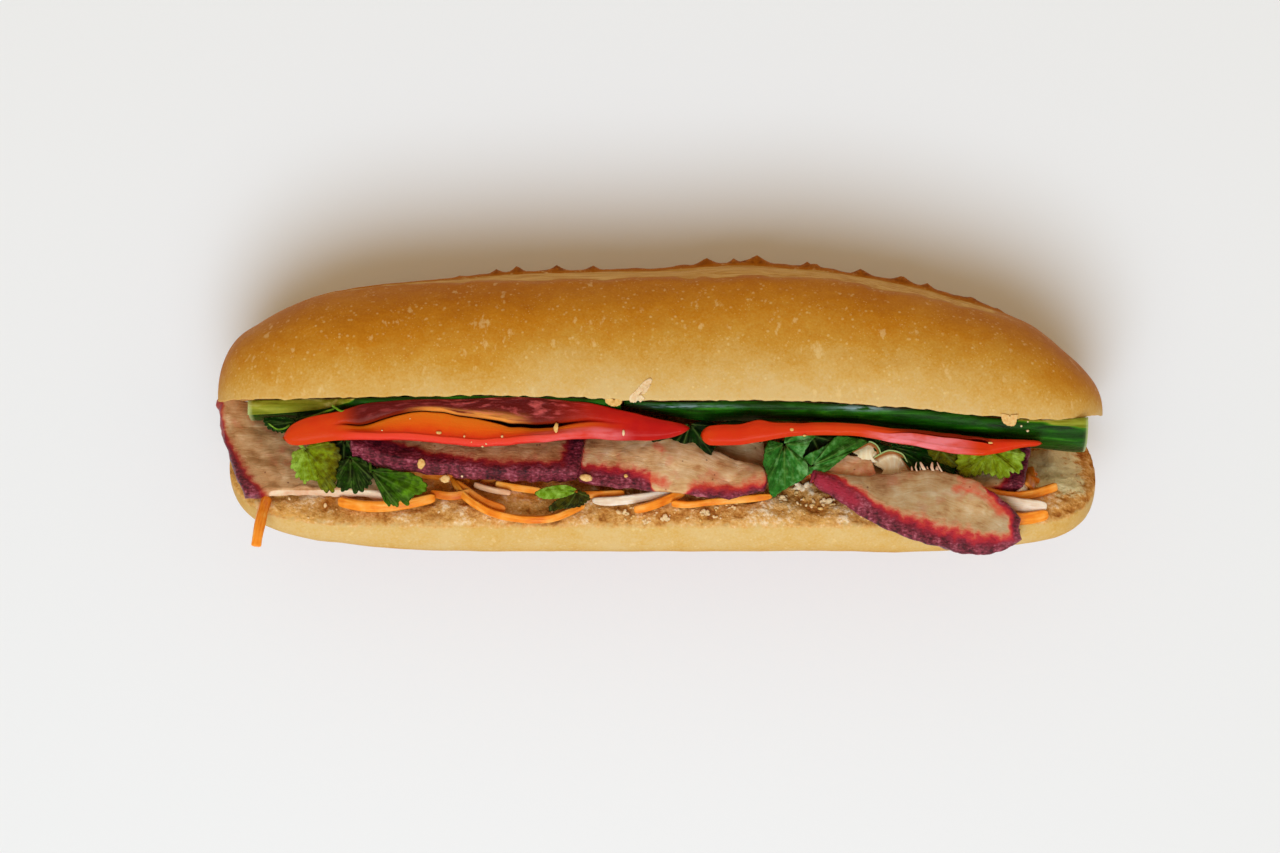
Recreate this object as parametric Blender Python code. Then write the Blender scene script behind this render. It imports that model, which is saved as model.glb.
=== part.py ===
"""Banh mi sandwich: a split bread roll lying on its spine, filled side up.

Frame: +X along the roll, +Y from the heel (lower half) towards the crown (domed half), +Z up out of
the opening. The origin is on the table, in the middle of the flat strip the spine rests on.
"""
import math

import bmesh
import bpy
from mathutils import Vector

MM = 0.001
GAP = 0.4 * MM                       # clearance between pieces that touch

# The roll: its overall size and the way it is cut and opened.
ROLL_LENGTH = 250 * MM
HALF_LENGTH = ROLL_LENGTH / 2
HALF_WIDTH = 34 * MM
CROWN_HEIGHT = 38.4 * MM             # tallest height of the dome above the cut
CROWN_PEAK_X = 20 * MM
CROWN_DROP_LEFT = 13.6 * MM          # how much the dome's ridge line falls towards each end
CROWN_DROP_RIGHT = 17.1 * MM
CROWN_FALL_LEFT = 1.5                # exponents of that fall
CROWN_FALL_RIGHT = 2.0
HEEL_THICKNESS = 17 * MM
HEEL_THINNING = 4 * MM               # the heel is thinner near both ends
RIM_Y = -34 * MM                     # the heel's front rim runs straight, at this y
HINGE_Z = 7 * MM                     # height of the uncut hinge above the spine's lowest crust
HINGE_OVERLAP = 1.5 * MM             # how far the heel's cut starts below the crown's cut
SPINE_SINK = 1.2 * MM                # crust pressed flat where the spine rests
CUT_LINE = ((-125, 1.2), (-100, 1.7), (-40, 2.7), (0, 1.1), (33, 1.3), (70, -1.0), (103, -3.9),
            (125, -3.4))             # the crown's cut edge, x and y in millimetres
CROWN_FULLNESS = 2.3                 # exponents of the rounded cross-sections
HEEL_FULLNESS = 2.8
END_SQUARENESS = 12                  # how square and how round the roll's ends are in plan
END_ROUNDNESS = 2.4

# The baker's slash along the crown's top, and the thin lip of crust (the ear) beside it.
SCORE_FROM_X = -100 * MM
SCORE_TO_X = 112 * MM
SCORE_DEPTH = 0.8 * MM
SCORE_WIDTH_SHARE = 0.56             # of the half width, from the ear towards the opening
EAR_HEIGHT = 1.0 * MM
EAR_WIDTH_SHARE = 0.05

# Fillings.
CUCUMBER_THICKNESS = 5.4 * MM
CUCUMBER_WIDTH = 22 * MM
PEPPER_WALL = 2.8 * MM
PEPPER_TOP_Z = 66 * MM
PEPPER_BASE_Z = 57.8 * MM
PORK_THICKNESS = 3.6 * MM
THICK_PORK = 5.6 * MM
LEAF_BUNCH_THICKNESS = 3.0 * MM
ONION_THICKNESS = 1.2 * MM
CARROT_WIDTH = 4.6 * MM
CARROT_THICKNESS = 1.6 * MM

COLOURS = {
    "crust": (0.62, 0.36, 0.12),
    "cucumber": (0.05, 0.16, 0.04),
    "pepper": (0.72, 0.06, 0.02),
    "pork": (0.42, 0.16, 0.11),
    "coriander": (0.06, 0.22, 0.03),
    "carrot": (0.86, 0.30, 0.05),
    "onion": (0.80, 0.78, 0.58),
}


def clear_scene():
    for item in list(bpy.data.objects):
        bpy.data.objects.remove(item, do_unlink=True)


def material(name):
    """Plain surface colour of one kind of food."""
    found = bpy.data.materials.get(name)
    if found:
        return found
    made = bpy.data.materials.new(name)
    made.use_nodes = True
    shader = made.node_tree.nodes["Principled BSDF"]
    shader.inputs["Base Color"].default_value = (*COLOURS[name], 1.0)
    shader.inputs["Roughness"].default_value = 0.5
    return made


def smoothstep(start, end, value):
    share = min(max((value - start) / (end - start), 0.0), 1.0)
    return share * share * (3 - 2 * share)


def curve_value(points, x):
    """Smooth curve through (x, value) points, both in millimetres; x and the result in metres."""
    x_mm = x / MM
    last = len(points) - 1
    x_mm = min(max(x_mm, points[0][0]), points[last][0])
    here = max(i for i in range(last) if points[i][0] <= x_mm or i == 0)
    before = points[max(here - 1, 0)]
    start = points[here]
    end = points[here + 1]
    after = points[min(here + 2, last)]
    span = end[0] - start[0]
    share = (x_mm - start[0]) / span
    slope_start = (end[1] - before[1]) / (end[0] - before[0]) * span
    slope_end = (after[1] - start[1]) / (after[0] - start[0]) * span
    square = share * share
    cube = square * share
    value = ((2 * cube - 3 * square + 1) * start[1] + (cube - 2 * square + share) * slope_start
             + (3 * square - 2 * cube) * end[1] + (cube - square) * slope_end)
    return value * MM


def smooth_path(points, share):
    """Point at share (0 to 1) along a smooth curve through points given in millimetres."""
    last = len(points) - 1
    place = min(max(share, 0.0), 1.0) * last
    here = min(int(place), last - 1)
    t = place - here
    a = Vector(points[max(here - 1, 0)])
    b = Vector(points[here])
    c = Vector(points[here + 1])
    d = Vector(points[min(here + 2, last)])
    curve = 2 * b + (c - a) * t + (2 * a - 5 * b + 4 * c - d) * t * t + (3 * b - a - 3 * c + d) * t ** 3
    return curve * (0.5 * MM)


# ---------------------------------------------------------------- the roll's own geometry

def end_rounding(x):
    """Share of the roll's full section that is left at x: 1 in the middle, 0 at the tips."""
    reach = min(abs(x) / HALF_LENGTH, 1.0)
    return (1 - reach ** END_SQUARENESS) ** (1 / END_ROUNDNESS)


def cut_y(x):
    """Height of the crown's cut edge."""
    return curve_value(CUT_LINE, x)


def hinge_y(x):
    return cut_y(x) - HINGE_OVERLAP


def heel_tilt(x):
    """Angle between the heel's cut and the upright plane, so that the rim runs straight."""
    return math.asin((hinge_y(x) - RIM_Y) / (2 * HALF_WIDTH - HINGE_Z))


def in_wedge(x, along, above):
    """Point inside the opening: along the heel's cut from the hinge, and above that cut."""
    tilt = heel_tilt(x)
    y = hinge_y(x) - along * math.sin(tilt) + above * math.cos(tilt)
    z = HINGE_Z + along * math.cos(tilt) + above * math.sin(tilt)
    return Vector((x, y, z))


def superellipse(share, fullness):
    """Height of a rounded section at share (-1 to 1) of its half width."""
    return max(1 - abs(share) ** fullness, 0.0) ** (1 / fullness)


def roll_stations(middle_step=12.5 * MM, end_steps=7):
    """x of each cross-section: even in the middle, closer together round the ends."""
    ends = []
    for step in range(1, end_steps + 1):
        left = math.cos(0.5 * math.pi * step / end_steps)
        ends.append(HALF_LENGTH * (1 - left ** END_ROUNDNESS) ** (1 / END_SQUARENESS))
    count = int(2 * ends[0] / middle_step)
    middle = [-ends[0] + 2 * ends[0] * i / count for i in range(count + 1)]
    return [-x for x in reversed(ends[1:])] + middle + ends[1:]


def section_shares(fine_from, fine_to):
    """Places across a section from -1 to 1, with closer ones between two angles for fine relief."""
    angles = {180 - 10 * step for step in range(19)}
    angles.update(range(fine_from, fine_to + 1, 3))
    return [math.cos(math.radians(angle)) for angle in sorted(angles, reverse=True)]


def score_relief(x, share):
    """The slash's shallow strip and the raised ear along its far side, on the crown's top."""
    along = smoothstep(SCORE_FROM_X, SCORE_FROM_X + 30 * MM, x)
    along *= 1 - smoothstep(SCORE_TO_X - 30 * MM, SCORE_TO_X, x)
    strip = smoothstep(0.0, 0.06, share)
    strip *= 1 - smoothstep(SCORE_WIDTH_SHARE - 0.12, SCORE_WIDTH_SHARE, share)
    ear = max(1 - abs(share) / EAR_WIDTH_SHARE, 0.0)
    return along * (EAR_HEIGHT * ear - SCORE_DEPTH * strip)


def crown_height(x):
    away = abs(x - CROWN_PEAK_X)
    if x < CROWN_PEAK_X:
        drop = CROWN_DROP_LEFT * (away / (HALF_LENGTH + CROWN_PEAK_X)) ** CROWN_FALL_LEFT
    else:
        drop = CROWN_DROP_RIGHT * (away / (HALF_LENGTH - CROWN_PEAK_X)) ** CROWN_FALL_RIGHT
    return (CROWN_HEIGHT - drop) * end_rounding(x)


def heel_thickness(x):
    thinning = HEEL_THINNING * smoothstep(60 * MM, 110 * MM, abs(x))
    return (HEEL_THICKNESS - thinning) * end_rounding(x) ** 0.8


def crown_ring(x):
    width = HALF_WIDTH * end_rounding(x)
    if width < GAP:
        return [Vector((x, cut_y(x), HALF_WIDTH - SPINE_SINK))]
    ring = []
    for share in section_shares(81, 99):
        height = crown_height(x) * superellipse(share, CROWN_FULLNESS) + score_relief(x, share)
        ring.append(Vector((x, cut_y(x) + height, HALF_WIDTH - SPINE_SINK + width * share)))
    return ring


def heel_ring(x):
    width = HALF_WIDTH * end_rounding(x)
    centre = HALF_WIDTH - HINGE_Z
    if width < GAP:
        return [in_wedge(x, centre, 0.0)]
    thickness = heel_thickness(x)
    return [in_wedge(x, centre + width * share, -thickness * superellipse(share, HEEL_FULLNESS))
            for share in section_shares(90, 90)]


# ---------------------------------------------------------------- mesh makers

def finish_object(name, bm, kind, smooth_angle=50):
    bmesh.ops.recalc_face_normals(bm, faces=bm.faces)
    mesh = bpy.data.meshes.new(name)
    bm.to_mesh(mesh)
    bm.free()
    mesh.materials.append(material(kind))
    mesh.shade_smooth()
    mesh.set_sharp_from_angle(angle=math.radians(smooth_angle))
    made = bpy.data.objects.new(name, mesh)
    bpy.context.scene.collection.objects.link(made)
    return made


def loft(name, rings, kind):
    """Closed body through rings of points. A first or last ring of one point is a tip."""
    bm = bmesh.new()
    layers = [[bm.verts.new(point) for point in ring] for ring in rings]
    for first, second in zip(layers, layers[1:]):
        count = max(len(first), len(second))
        for i in range(count):
            j = (i + 1) % count
            if len(first) == 1:
                bm.faces.new((first[0], second[i], second[j]))
            elif len(second) == 1:
                bm.faces.new((first[j], first[i], second[0]))
            else:
                bm.faces.new((first[j], first[i], second[i], second[j]))
    for layer in (layers[0], layers[-1]):
        if len(layer) > 2:
            bm.faces.new(layer)
    return finish_object(name, bm, kind)


def slab(name, back_edge, front_edge, thickness, kind, bulge=0.0, steps=(14, 5)):
    """Slice between two edge curves: a soft slab whose faces thin out towards its border.

    bulge lifts the middle of the slice along its own normal, so it sags or arches like food.
    """
    columns, rows = steps

    def centre(u, v):
        start = smooth_path(back_edge, u)
        end = smooth_path(front_edge, u)
        across = end - start
        lift = Vector((0, -across.z, across.y)).normalized()
        return start + across * v + lift * (-bulge * 4 * v * (1 - v))

    def normal(u, v):
        step = 0.01
        along_u = centre(min(u + step, 1), v) - centre(max(u - step, 0), v)
        along_v = centre(u, min(v + step, 1)) - centre(u, max(v - step, 0))
        return along_u.cross(along_v).normalized()

    bm = bmesh.new()
    faces_up = []
    faces_down = []
    for i in range(columns + 1):
        u = i / columns
        up_row = []
        down_row = []
        for j in range(rows + 1):
            v = j / rows
            border = min(u * columns, (1 - u) * columns, v * rows, (1 - v) * rows)
            half = 0.5 * thickness * (0.62 + 0.38 * min(border, 1.0))
            up_row.append(bm.verts.new(centre(u, v) + normal(u, v) * half))
            down_row.append(bm.verts.new(centre(u, v) - normal(u, v) * half))
        faces_up.append(up_row)
        faces_down.append(down_row)
    for i in range(columns):
        for j in range(rows):
            for grid in (faces_up, faces_down):
                bm.faces.new((grid[i][j], grid[i + 1][j], grid[i + 1][j + 1], grid[i][j + 1]))
    border = [(i, 0) for i in range(columns)] + [(columns, j) for j in range(rows)]
    border += [(i, rows) for i in range(columns, 0, -1)] + [(0, j) for j in range(rows, 0, -1)]
    for here, there in zip(border, border[1:] + border[:1]):
        a, b = here
        c, d = there
        bm.faces.new((faces_up[a][b], faces_up[c][d], faces_down[c][d], faces_down[a][b]))
    return finish_object(name, bm, kind)


# ---------------------------------------------------------------- the sandwich's pieces

def make_bread_roll():
    """Crown and heel, joined along the uncut spine and pressed flat where the roll rests."""
    roll = loft("bread_roll", [crown_ring(x) for x in roll_stations()], "crust")
    heel = loft("heel_guide", [heel_ring(x) for x in roll_stations()], "crust")
    bm = bmesh.new()
    bmesh.ops.create_cube(bm, size=1.0)
    depth = 20 * MM
    bmesh.ops.scale(bm, vec=(2 * ROLL_LENGTH, ROLL_LENGTH, depth), verts=bm.verts)
    bmesh.ops.translate(bm, vec=(0, 0, -depth / 2), verts=bm.verts)
    table = finish_object("table_cutter", bm, "crust")
    for guide in (heel, table):
        guide.hide_render = True
        guide.display_type = "WIRE"
    join = roll.modifiers.new("spine", "BOOLEAN")
    join.operation = "UNION"
    join.object = heel
    flat = roll.modifiers.new("resting_flat", "BOOLEAN")
    flat.operation = "DIFFERENCE"
    flat.object = table


def make_cucumber(name, x_from, x_to, back_z, taper, thickening=0.0):
    """Long slice cut off a cucumber's side: flat flesh against the crown, skin bulging below it.

    taper is the share of the length over which the thin start of the slice reaches full depth.
    """
    stations = 12
    arc_steps = 8
    rings = []
    for i in range(stations + 1):
        share = i / stations
        x = x_from + (x_to - x_from) * share
        depth = CUCUMBER_THICKNESS * (0.3 + 0.7 * smoothstep(-0.02, taper, share))
        depth += thickening * smoothstep(0.5, 1.0, share)
        ring = []
        for step in range(arc_steps + 1):
            angle = math.pi * step / arc_steps
            across = 0.5 - 0.5 * math.cos(angle)
            below = depth * math.sin(angle) ** 0.8
            ring.append(Vector((x, cut_y(x) - GAP - below, back_z + CUCUMBER_WIDTH * across)))
        rings.append(ring)
    return loft(name, rings, "cucumber")


def make_pepper_left():
    """Long boat of pepper: two walls with a groove between them, closed at both ends."""
    front = ((-104, -8.9), (-100, -10.6), (-90, -10.4), (-70, -10.2), (-44, -11.6), (-25, -10.4),
             (-8, -9.2), (8, -6.6))
    back = ((-104, -7.6), (-98, -5.0), (-84, -1.4), (-66, 0.9), (-33, 1.6), (-20, 0.2), (-5, -2.6),
            (8, -5.6))
    stations = 18
    x_from = -104 * MM
    x_to = 8 * MM
    rings = []
    for i in range(stations + 1):
        x = x_from + (x_to - x_from) * i / stations
        y_front = curve_value(front, x)
        y_back = curve_value(back, x)
        width = y_back - y_front
        open_share = smoothstep(-94 * MM, -80 * MM, x) * (1 - smoothstep(-30 * MM, -12 * MM, x))
        wall = min(PEPPER_WALL, width * 0.3)
        floor_z = PEPPER_TOP_Z - 0.4 * MM - open_share * 5.8 * MM
        middle = y_back - 0.45 * width
        half_floor = 0.12 * width
        ring = ((y_front, PEPPER_TOP_Z), (y_front + 0.30 * width, PEPPER_BASE_Z),
                (y_back - 0.18 * width, PEPPER_BASE_Z), (y_back, PEPPER_TOP_Z - 1.2 * MM),
                (y_back - wall, PEPPER_TOP_Z - 0.6 * MM), (middle + half_floor, floor_z),
                (middle - half_floor, floor_z), (y_front + wall, PEPPER_TOP_Z))
        rings.append([Vector((x, y, z)) for y, z in ring])
    return loft("pepper_left", rings, "pepper")


def make_pepper_right():
    """Curved strip of pepper standing on its edge, wider at one end and tapering at the other."""
    middle = ((12, -8.4), (17, -8.7), (22, -8.4), (29, -7.6), (37, -7.2), (52, -7.7), (62, -8.9),
              (71, -10.6), (81, -12.0), (88, -12.8), (98, -12.4), (105, -12.0))
    half_height = ((12, 1.2), (17, 2.5), (22, 2.9), (29, 2.4), (37, 1.9), (52, 1.8), (62, 2.0),
                   (71, 2.1), (81, 2.0), (88, 1.7), (98, 1.1), (105, 0.5))
    stations = 20
    x_from = 12 * MM
    x_to = 105 * MM
    rings = []
    for i in range(stations + 1):
        x = x_from + (x_to - x_from) * i / stations
        y = curve_value(middle, x)
        half = curve_value(half_height, x)
        lean = 0.8 * MM
        ring = ((y - half, PEPPER_TOP_Z), (y - half * 0.8 + lean, PEPPER_BASE_Z),
                (y + half * 0.8 + lean * 0.2, PEPPER_BASE_Z), (y + half, PEPPER_TOP_Z - 0.8 * MM))
        rings.append([Vector((x, y_ring, z)) for y_ring, z in ring])
    return loft("pepper_right", rings, "pepper")


def make_pork():
    """Slices of roast pork, each given by its deep edge and its front edge in millimetres."""
    slab("pork_far_left",
         ((-123, 0.0, 31), (-108, -1.5, 28), (-94, -1.5, 26), (-78, -1.0, 25)),
         ((-112, -25.0, 54), (-101, -25.2, 53.8), (-90, -24.6, 53.6), (-78, -25.2, 54.2)),
         PORK_THICKNESS, "pork")
    slab("pork_left",
         ((-84, -6.5, 42), (-66, -6.6, 38), (-46, -7.0, 32), (-27, -7.0, 31)),
         ((-86, -12.5, 59), (-74, -16.6, 60.5), (-54, -19.2, 60.5), (-38, -19.8, 60.5), (-26, -19.0, 60)),
         THICK_PORK, "pork", bulge=-0.8 * MM)
    slab("pork_middle",
         ((-21.5, -9.0, 45), (-6, -8.4, 47), (8, -9.6, 48), (18, -13.8, 50), (27.5, -18.4, 53)),
         ((-21.5, -21.6, 57), (-8, -23.4, 58), (6, -24.4, 58.5), (18, -25.0, 58.5), (28.5, -23.4, 58)),
         PORK_THICKNESS, "pork", bulge=1.2 * MM)
    slab("pork_middle_back",
         ((10, -6.0, 40), (17, -6.6, 41), (24, -8.0, 42.5), (29, -10.5, 44)),
         ((10, -13.4, 45.0), (17, -15.2, 46.2), (24, -17.4, 48.0), (29, -18.6, 49.2)),
         PORK_THICKNESS * 0.7, "pork", steps=(6, 3))
    slab("pork_right_back",
         ((50, -8.6, 40), (68, -9.0, 40), (86, -10.0, 40), (103.5, -12.0, 41)),
         ((50, -22.0, 50.6), (68, -23.0, 51.4), (86, -24.0, 52.4), (101.5, -23.5, 53)),
         PORK_THICKNESS, "pork")
    slab("pork_right_front",
         ((43, -19.4, 58), (55, -21.0, 58.4), (70, -20.2, 58.8), (83, -21.0, 59), (91, -26.5, 60.4),
          (98, -35.0, 63)),
         ((44.5, -22.2, 59), (53, -28.2, 61), (66, -35.2, 63), (80, -39.0, 62.4), (90, -41.0, 61),
          (97, -39.6, 61.4)),
         PORK_THICKNESS, "pork", bulge=1.4 * MM)


def make_coriander():
    """Bunches of coriander, solid out to the tips of their leaves."""
    slab("coriander_left",
         ((-102, -11.4, 53), (-90, -15.6, 54), (-78, -21.8, 56), (-66, -23.2, 56.5)),
         ((-99, -20.6, 58), (-89, -22.6, 58), (-76, -27.4, 58.5), (-67, -27.2, 58.5)),
         LEAF_BUNCH_THICKNESS, "coriander", steps=(10, 3))
    slab("coriander_middle",
         ((32, -9.4, 52.5), (38, -9.2, 52.5), (44, -10.0, 53), (50, -10.8, 53.5)),
         ((32.5, -24.0, 60.5), (37, -21.0, 59.5), (43, -16.8, 57.5), (50, -14.8, 56.5)),
         LEAF_BUNCH_THICKNESS, "coriander", steps=(8, 4))
    slab("coriander_right",
         ((76, -12.4, 51.0), (84, -12.6, 51.2), (93, -13.0, 51.6), (100, -13.4, 51.8)),
         ((77, -17.4, 54.0), (84, -18.4, 54.6), (92, -18.6, 55.0), (99, -17.8, 54.8)),
         LEAF_BUNCH_THICKNESS, "coriander", steps=(8, 3))


def make_onion():
    """Two thin curved petals of onion, lying on the slice behind the overhanging one."""
    slab("onion_petal_1",
         ((52, -11.2, 51.6), (55, -9.8, 52.2), (59, -9.8, 52.2), (61.5, -11.8, 51.8)),
         ((51.5, -16.2, 53.2), (54.5, -16.6, 54.0), (58, -16.6, 54.0), (60, -16.4, 53.4)),
         ONION_THICKNESS, "onion", bulge=0.9 * MM, steps=(6, 4))
    slab("onion_petal_2",
         ((62.5, -14.6, 52.2), (64.5, -12.8, 52.6), (68, -12.8, 52.6), (71, -15.0, 52.0)),
         ((62, -19.4, 54.0), (66, -19.8, 54.6), (69.5, -19.6, 54.4), (74, -19.2, 54.0)),
         ONION_THICKNESS, "onion", bulge=0.9 * MM, steps=(6, 4))


def make_pickle_heap():
    """Heap of carrot and radish shreds on the heel's cut, with an uneven outline."""
    x_from = -74 * MM
    x_to = 104 * MM
    stations = 18
    front_reach = ((-74, 50), (-60, 55), (-40, 57), (-20, 54), (0, 56), (22, 54), (38, 50), (60, 49),
                   (80, 50), (96, 54), (104, 51))
    back_reach = 27 * MM
    rings = []
    for i in range(stations + 1):
        x = x_from + (x_to - x_from) * i / stations
        reach = curve_value(front_reach, x)
        ragged = 0.5 * MM * math.sin(2.3 * i)
        ring = [in_wedge(x, back_reach, 2 * GAP), in_wedge(x, reach, 2 * GAP),
                in_wedge(x, reach, 2.0 * MM + ragged * 0.5), in_wedge(x, reach - 5 * MM, 3.0 * MM + ragged),
                in_wedge(x, reach - 13 * MM, 4.4 * MM - ragged), in_wedge(x, back_reach + 3 * MM, 2.6 * MM)]
        rings.append(ring)
    return loft("pickle_heap", rings, "carrot")


def make_hanging_carrot():
    """One carrot strip that slips out under the left slice and hangs over the rim."""
    path = ((-110.4, -26.9, 49.4), (-111.0, -29.5, 53.5), (-111.6, -32.6, 57.6), (-112.4, -36.4, 59.8),
            (-113.2, -39.6, 60.2))
    stations = 8
    rings = []
    for i in range(stations + 1):
        share = i / stations
        here = smooth_path(path, share)
        ahead = smooth_path(path, share + 0.05) - smooth_path(path, share - 0.05)
        side = Vector((1, 0, 0)) * (CARROT_WIDTH / 2)
        up = ahead.cross(Vector((1, 0, 0))).normalized() * (CARROT_THICKNESS / 2)
        if up.z < 0:
            up = -up
        rings.append([here + side + up * 0.7, here + up, here - side + up * 0.7,
                      here - side - up * 0.7, here - up, here + side - up * 0.7])
    return loft("carrot_strip_hanging", rings, "carrot")


def main():
    clear_scene()
    make_bread_roll()
    make_cucumber("cucumber_left", -114.5 * MM, -11 * MM, 35 * MM, taper=0.0)
    make_cucumber("cucumber_right", -10 * MM, 118 * MM, 40 * MM, taper=0.2, thickening=2.6 * MM)
    make_pepper_left()
    make_pepper_right()
    make_pork()
    make_coriander()
    make_onion()
    make_pickle_heap()
    make_hanging_carrot()


main()
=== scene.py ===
"""Looks of the banh mi sandwich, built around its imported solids.

Lengths are in millimetres until a mesh is written. +X runs along the roll, +Y from the heel (the
lower half) towards the crown (the domed half), and +Z up out of the opening.
"""

import itertools
import math

import bmesh
import bpy
import numpy as np
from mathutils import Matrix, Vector


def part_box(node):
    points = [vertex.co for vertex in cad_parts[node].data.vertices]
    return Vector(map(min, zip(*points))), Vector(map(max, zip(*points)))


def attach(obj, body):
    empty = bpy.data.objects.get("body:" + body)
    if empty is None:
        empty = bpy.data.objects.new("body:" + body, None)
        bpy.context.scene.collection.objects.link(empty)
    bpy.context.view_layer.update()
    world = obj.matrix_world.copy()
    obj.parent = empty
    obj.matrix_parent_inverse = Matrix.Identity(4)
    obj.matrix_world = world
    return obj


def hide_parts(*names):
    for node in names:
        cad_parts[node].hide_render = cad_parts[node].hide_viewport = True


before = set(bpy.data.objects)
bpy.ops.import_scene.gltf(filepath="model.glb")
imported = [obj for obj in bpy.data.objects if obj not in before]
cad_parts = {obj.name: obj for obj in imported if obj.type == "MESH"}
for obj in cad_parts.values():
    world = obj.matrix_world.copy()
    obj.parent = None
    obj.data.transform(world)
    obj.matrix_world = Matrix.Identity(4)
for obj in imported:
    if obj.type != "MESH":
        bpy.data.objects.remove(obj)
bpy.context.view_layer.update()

MM = 0.001


def box_mm(node):
    """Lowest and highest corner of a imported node."""
    return [np.array(corner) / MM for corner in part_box(node)]


# The roll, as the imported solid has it. CROWN_OUTLINE gives the dome's height at each x, and CUT_LINE the y of
# the crown's cut.
ROLL_LOW, ROLL_HIGH = box_mm("bread_roll")
HALF_LENGTH = (ROLL_HIGH[0] - ROLL_LOW[0]) / 2
HALF_WIDTH = 34.0
SECTION_Z = ROLL_HIGH[2] - HALF_WIDTH    # height of the middle of the crown's cut
CROWN_HEIGHT = 38.4                      # tallest height of the dome above the cut
CROWN_OUTLINE = (
    (-125, 24.6), (-119.3, 25.6), (-113.7, 25.6), (-105, 28), (-96.6, 30.4), (-79.6, 32.2), (-56.8, 33.9),
    (-28.4, 35.4), (0, 37.7), (20, 38.4), (44, 37.5), (68, 35.1), (82.4, 33), (96.6, 30.8), (105, 28.2),
    (113.6, 22.8), (120.7, 18.4), (125, 16.4),
)
HEEL_THICKNESS = 17.0
HEEL_THINNING = 4.0                      # the heel is thinner near both ends
HEEL_LEFT = 122.4                        # how far the heel reaches to each side
HEEL_RIGHT = 123.4
RIM_Y = -34.0                            # the heel's front rim runs straight, at this y
RIM_ALONG = 61.0                         # distance of that rim from the hinge, along the heel's cut
HINGE_Z = 7.0                            # height of the uncut hinge
HINGE_OVERLAP = 1.5                      # how far in front of the crown's cut the heel's cut starts
WEDGE_CENTRE = HALF_WIDTH - HINGE_Z      # middle of the heel's cut, measured from the hinge
CUT_LINE = ((-125, 1.2), (-100, 1.7), (-40, 2.7), (0, 1.1), (33, 1.3), (70, -1), (103, -3.9), (125, -2.6))
CROWN_FULLNESS = 2.3                     # exponents of the rounded cross-sections
HEEL_FULLNESS = 2.8
END_SQUARENESS = 12                      # how square and how round the roll's ends are in plan
END_ROUNDNESS = 2.4
HEEL_LEFT_SQUARENESS = 9                 # the heel's left end is rounder
HEEL_LEFT_ROUNDNESS = 2.2
CRUMB_SWELL = 5.2                        # how far the torn crumb stands up from the heel's cut

# Relief on the crust. EAR_SPIKES are the torn points of the lip: their x, height and half width.
STATION_STEP = 0.95
CRUST_STEP = 1.35
FINE_STEP = 0.42
SCORE_FROM_X = -108.0
SCORE_TO_X = 112.0
SCORE_DEPTH = 0.8
SCORE_SHARE = 0.5
EAR_SHARE = 0.045
EAR_FROM_X = -60.0
EAR_TO_X = 100.0
EAR_SPIKES = (
    (-57, 0.5, 3), (-46.5, 1.1, 2.4), (-40.6, 1.7, 2.6), (-29.4, 1.2, 2.6), (-19, 1.2, 3), (-6.9, 0.5, 4),
    (13.1, 1.8, 4), (20.9, 1.1, 1.8), (27.5, 1.9, 4.6), (41.8, 1.1, 2), (44.2, 1, 1.8), (57.2, 1.5, 3.4),
    (68.8, 1.7, 4.2), (76.1, 1.3, 2.4), (88.8, 0.9, 3), (96.2, 0.6, 2.4),
)


# ---------------------------------------------------------------- numbers along curves

def smoothstep(start, end, value):
    share = np.clip((value - start) / (end - start), 0.0, 1.0)
    return share * share * (3 - 2 * share)


def plateau(rise_from, rise_to, fall_from, fall_to, value):
    """1 between two slopes and 0 outside them."""
    return smoothstep(rise_from, rise_to, value) * (1 - smoothstep(fall_from, fall_to, value))


def curve_value(points, x):
    """Smooth curve through (x, value) points."""
    table = np.array(points, float)
    places, values = table.T
    x = np.clip(x, places[0], places[-1])
    here = np.clip(np.searchsorted(places, x, side="right") - 1, 0, len(places) - 2)
    before = np.maximum(here - 1, 0)
    after = np.minimum(here + 2, len(places) - 1)
    span = places[here + 1] - places[here]
    t = (x - places[here]) / span
    slope_start = (values[here + 1] - values[before]) / (places[here + 1] - places[before]) * span
    slope_end = (values[after] - values[here]) / (places[after] - places[here]) * span
    return ((2 * t ** 3 - 3 * t ** 2 + 1) * values[here] + (t ** 3 - 2 * t ** 2 + t) * slope_start
            + (3 * t ** 2 - 2 * t ** 3) * values[here + 1] + (t ** 3 - t ** 2) * slope_end)


def spline(a, b, c, d, t):
    """Smooth curve from b to c at t from 0 to 1, with a before them and d after."""
    return 0.5 * (2 * b + (c - a) * t + (2 * a - 5 * b + 4 * c - d) * t ** 2
                  + (3 * b - a - 3 * c + d) * t ** 3)


def smooth_path(points, share):
    """Points at share (0 to 1) along a smooth curve through the given ones."""
    table = np.array(points, float)
    last = len(table) - 1
    place = np.clip(share, 0.0, 1.0) * last
    here = np.minimum(place.astype(int), last - 1)
    a, b, c, d = (table[np.clip(here + near, 0, last)] for near in (-1, 0, 1, 2))
    return spline(a, b, c, d, (place - here)[..., None])


def between_lines(curves, share):
    """Points at share (0 to 1) on smooth curves that cross a stack of lines."""
    last = len(curves) - 1
    place = np.clip(share, 0, 1) * last
    here = np.minimum(place.astype(int), last - 1)
    a, b, c, d = (np.take_along_axis(curves, np.clip(here + near, 0, last)[None, ..., None], 0)[0]
                  for near in (-1, 0, 1, 2))
    return spline(a, b, c, d, (place - here)[..., None])


def unit(vectors):
    return vectors / np.maximum(np.linalg.norm(vectors, axis=-1, keepdims=True), 1e-9)


def line_length(points):
    return np.linalg.norm(np.diff(points, axis=0), axis=1).sum()


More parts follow.
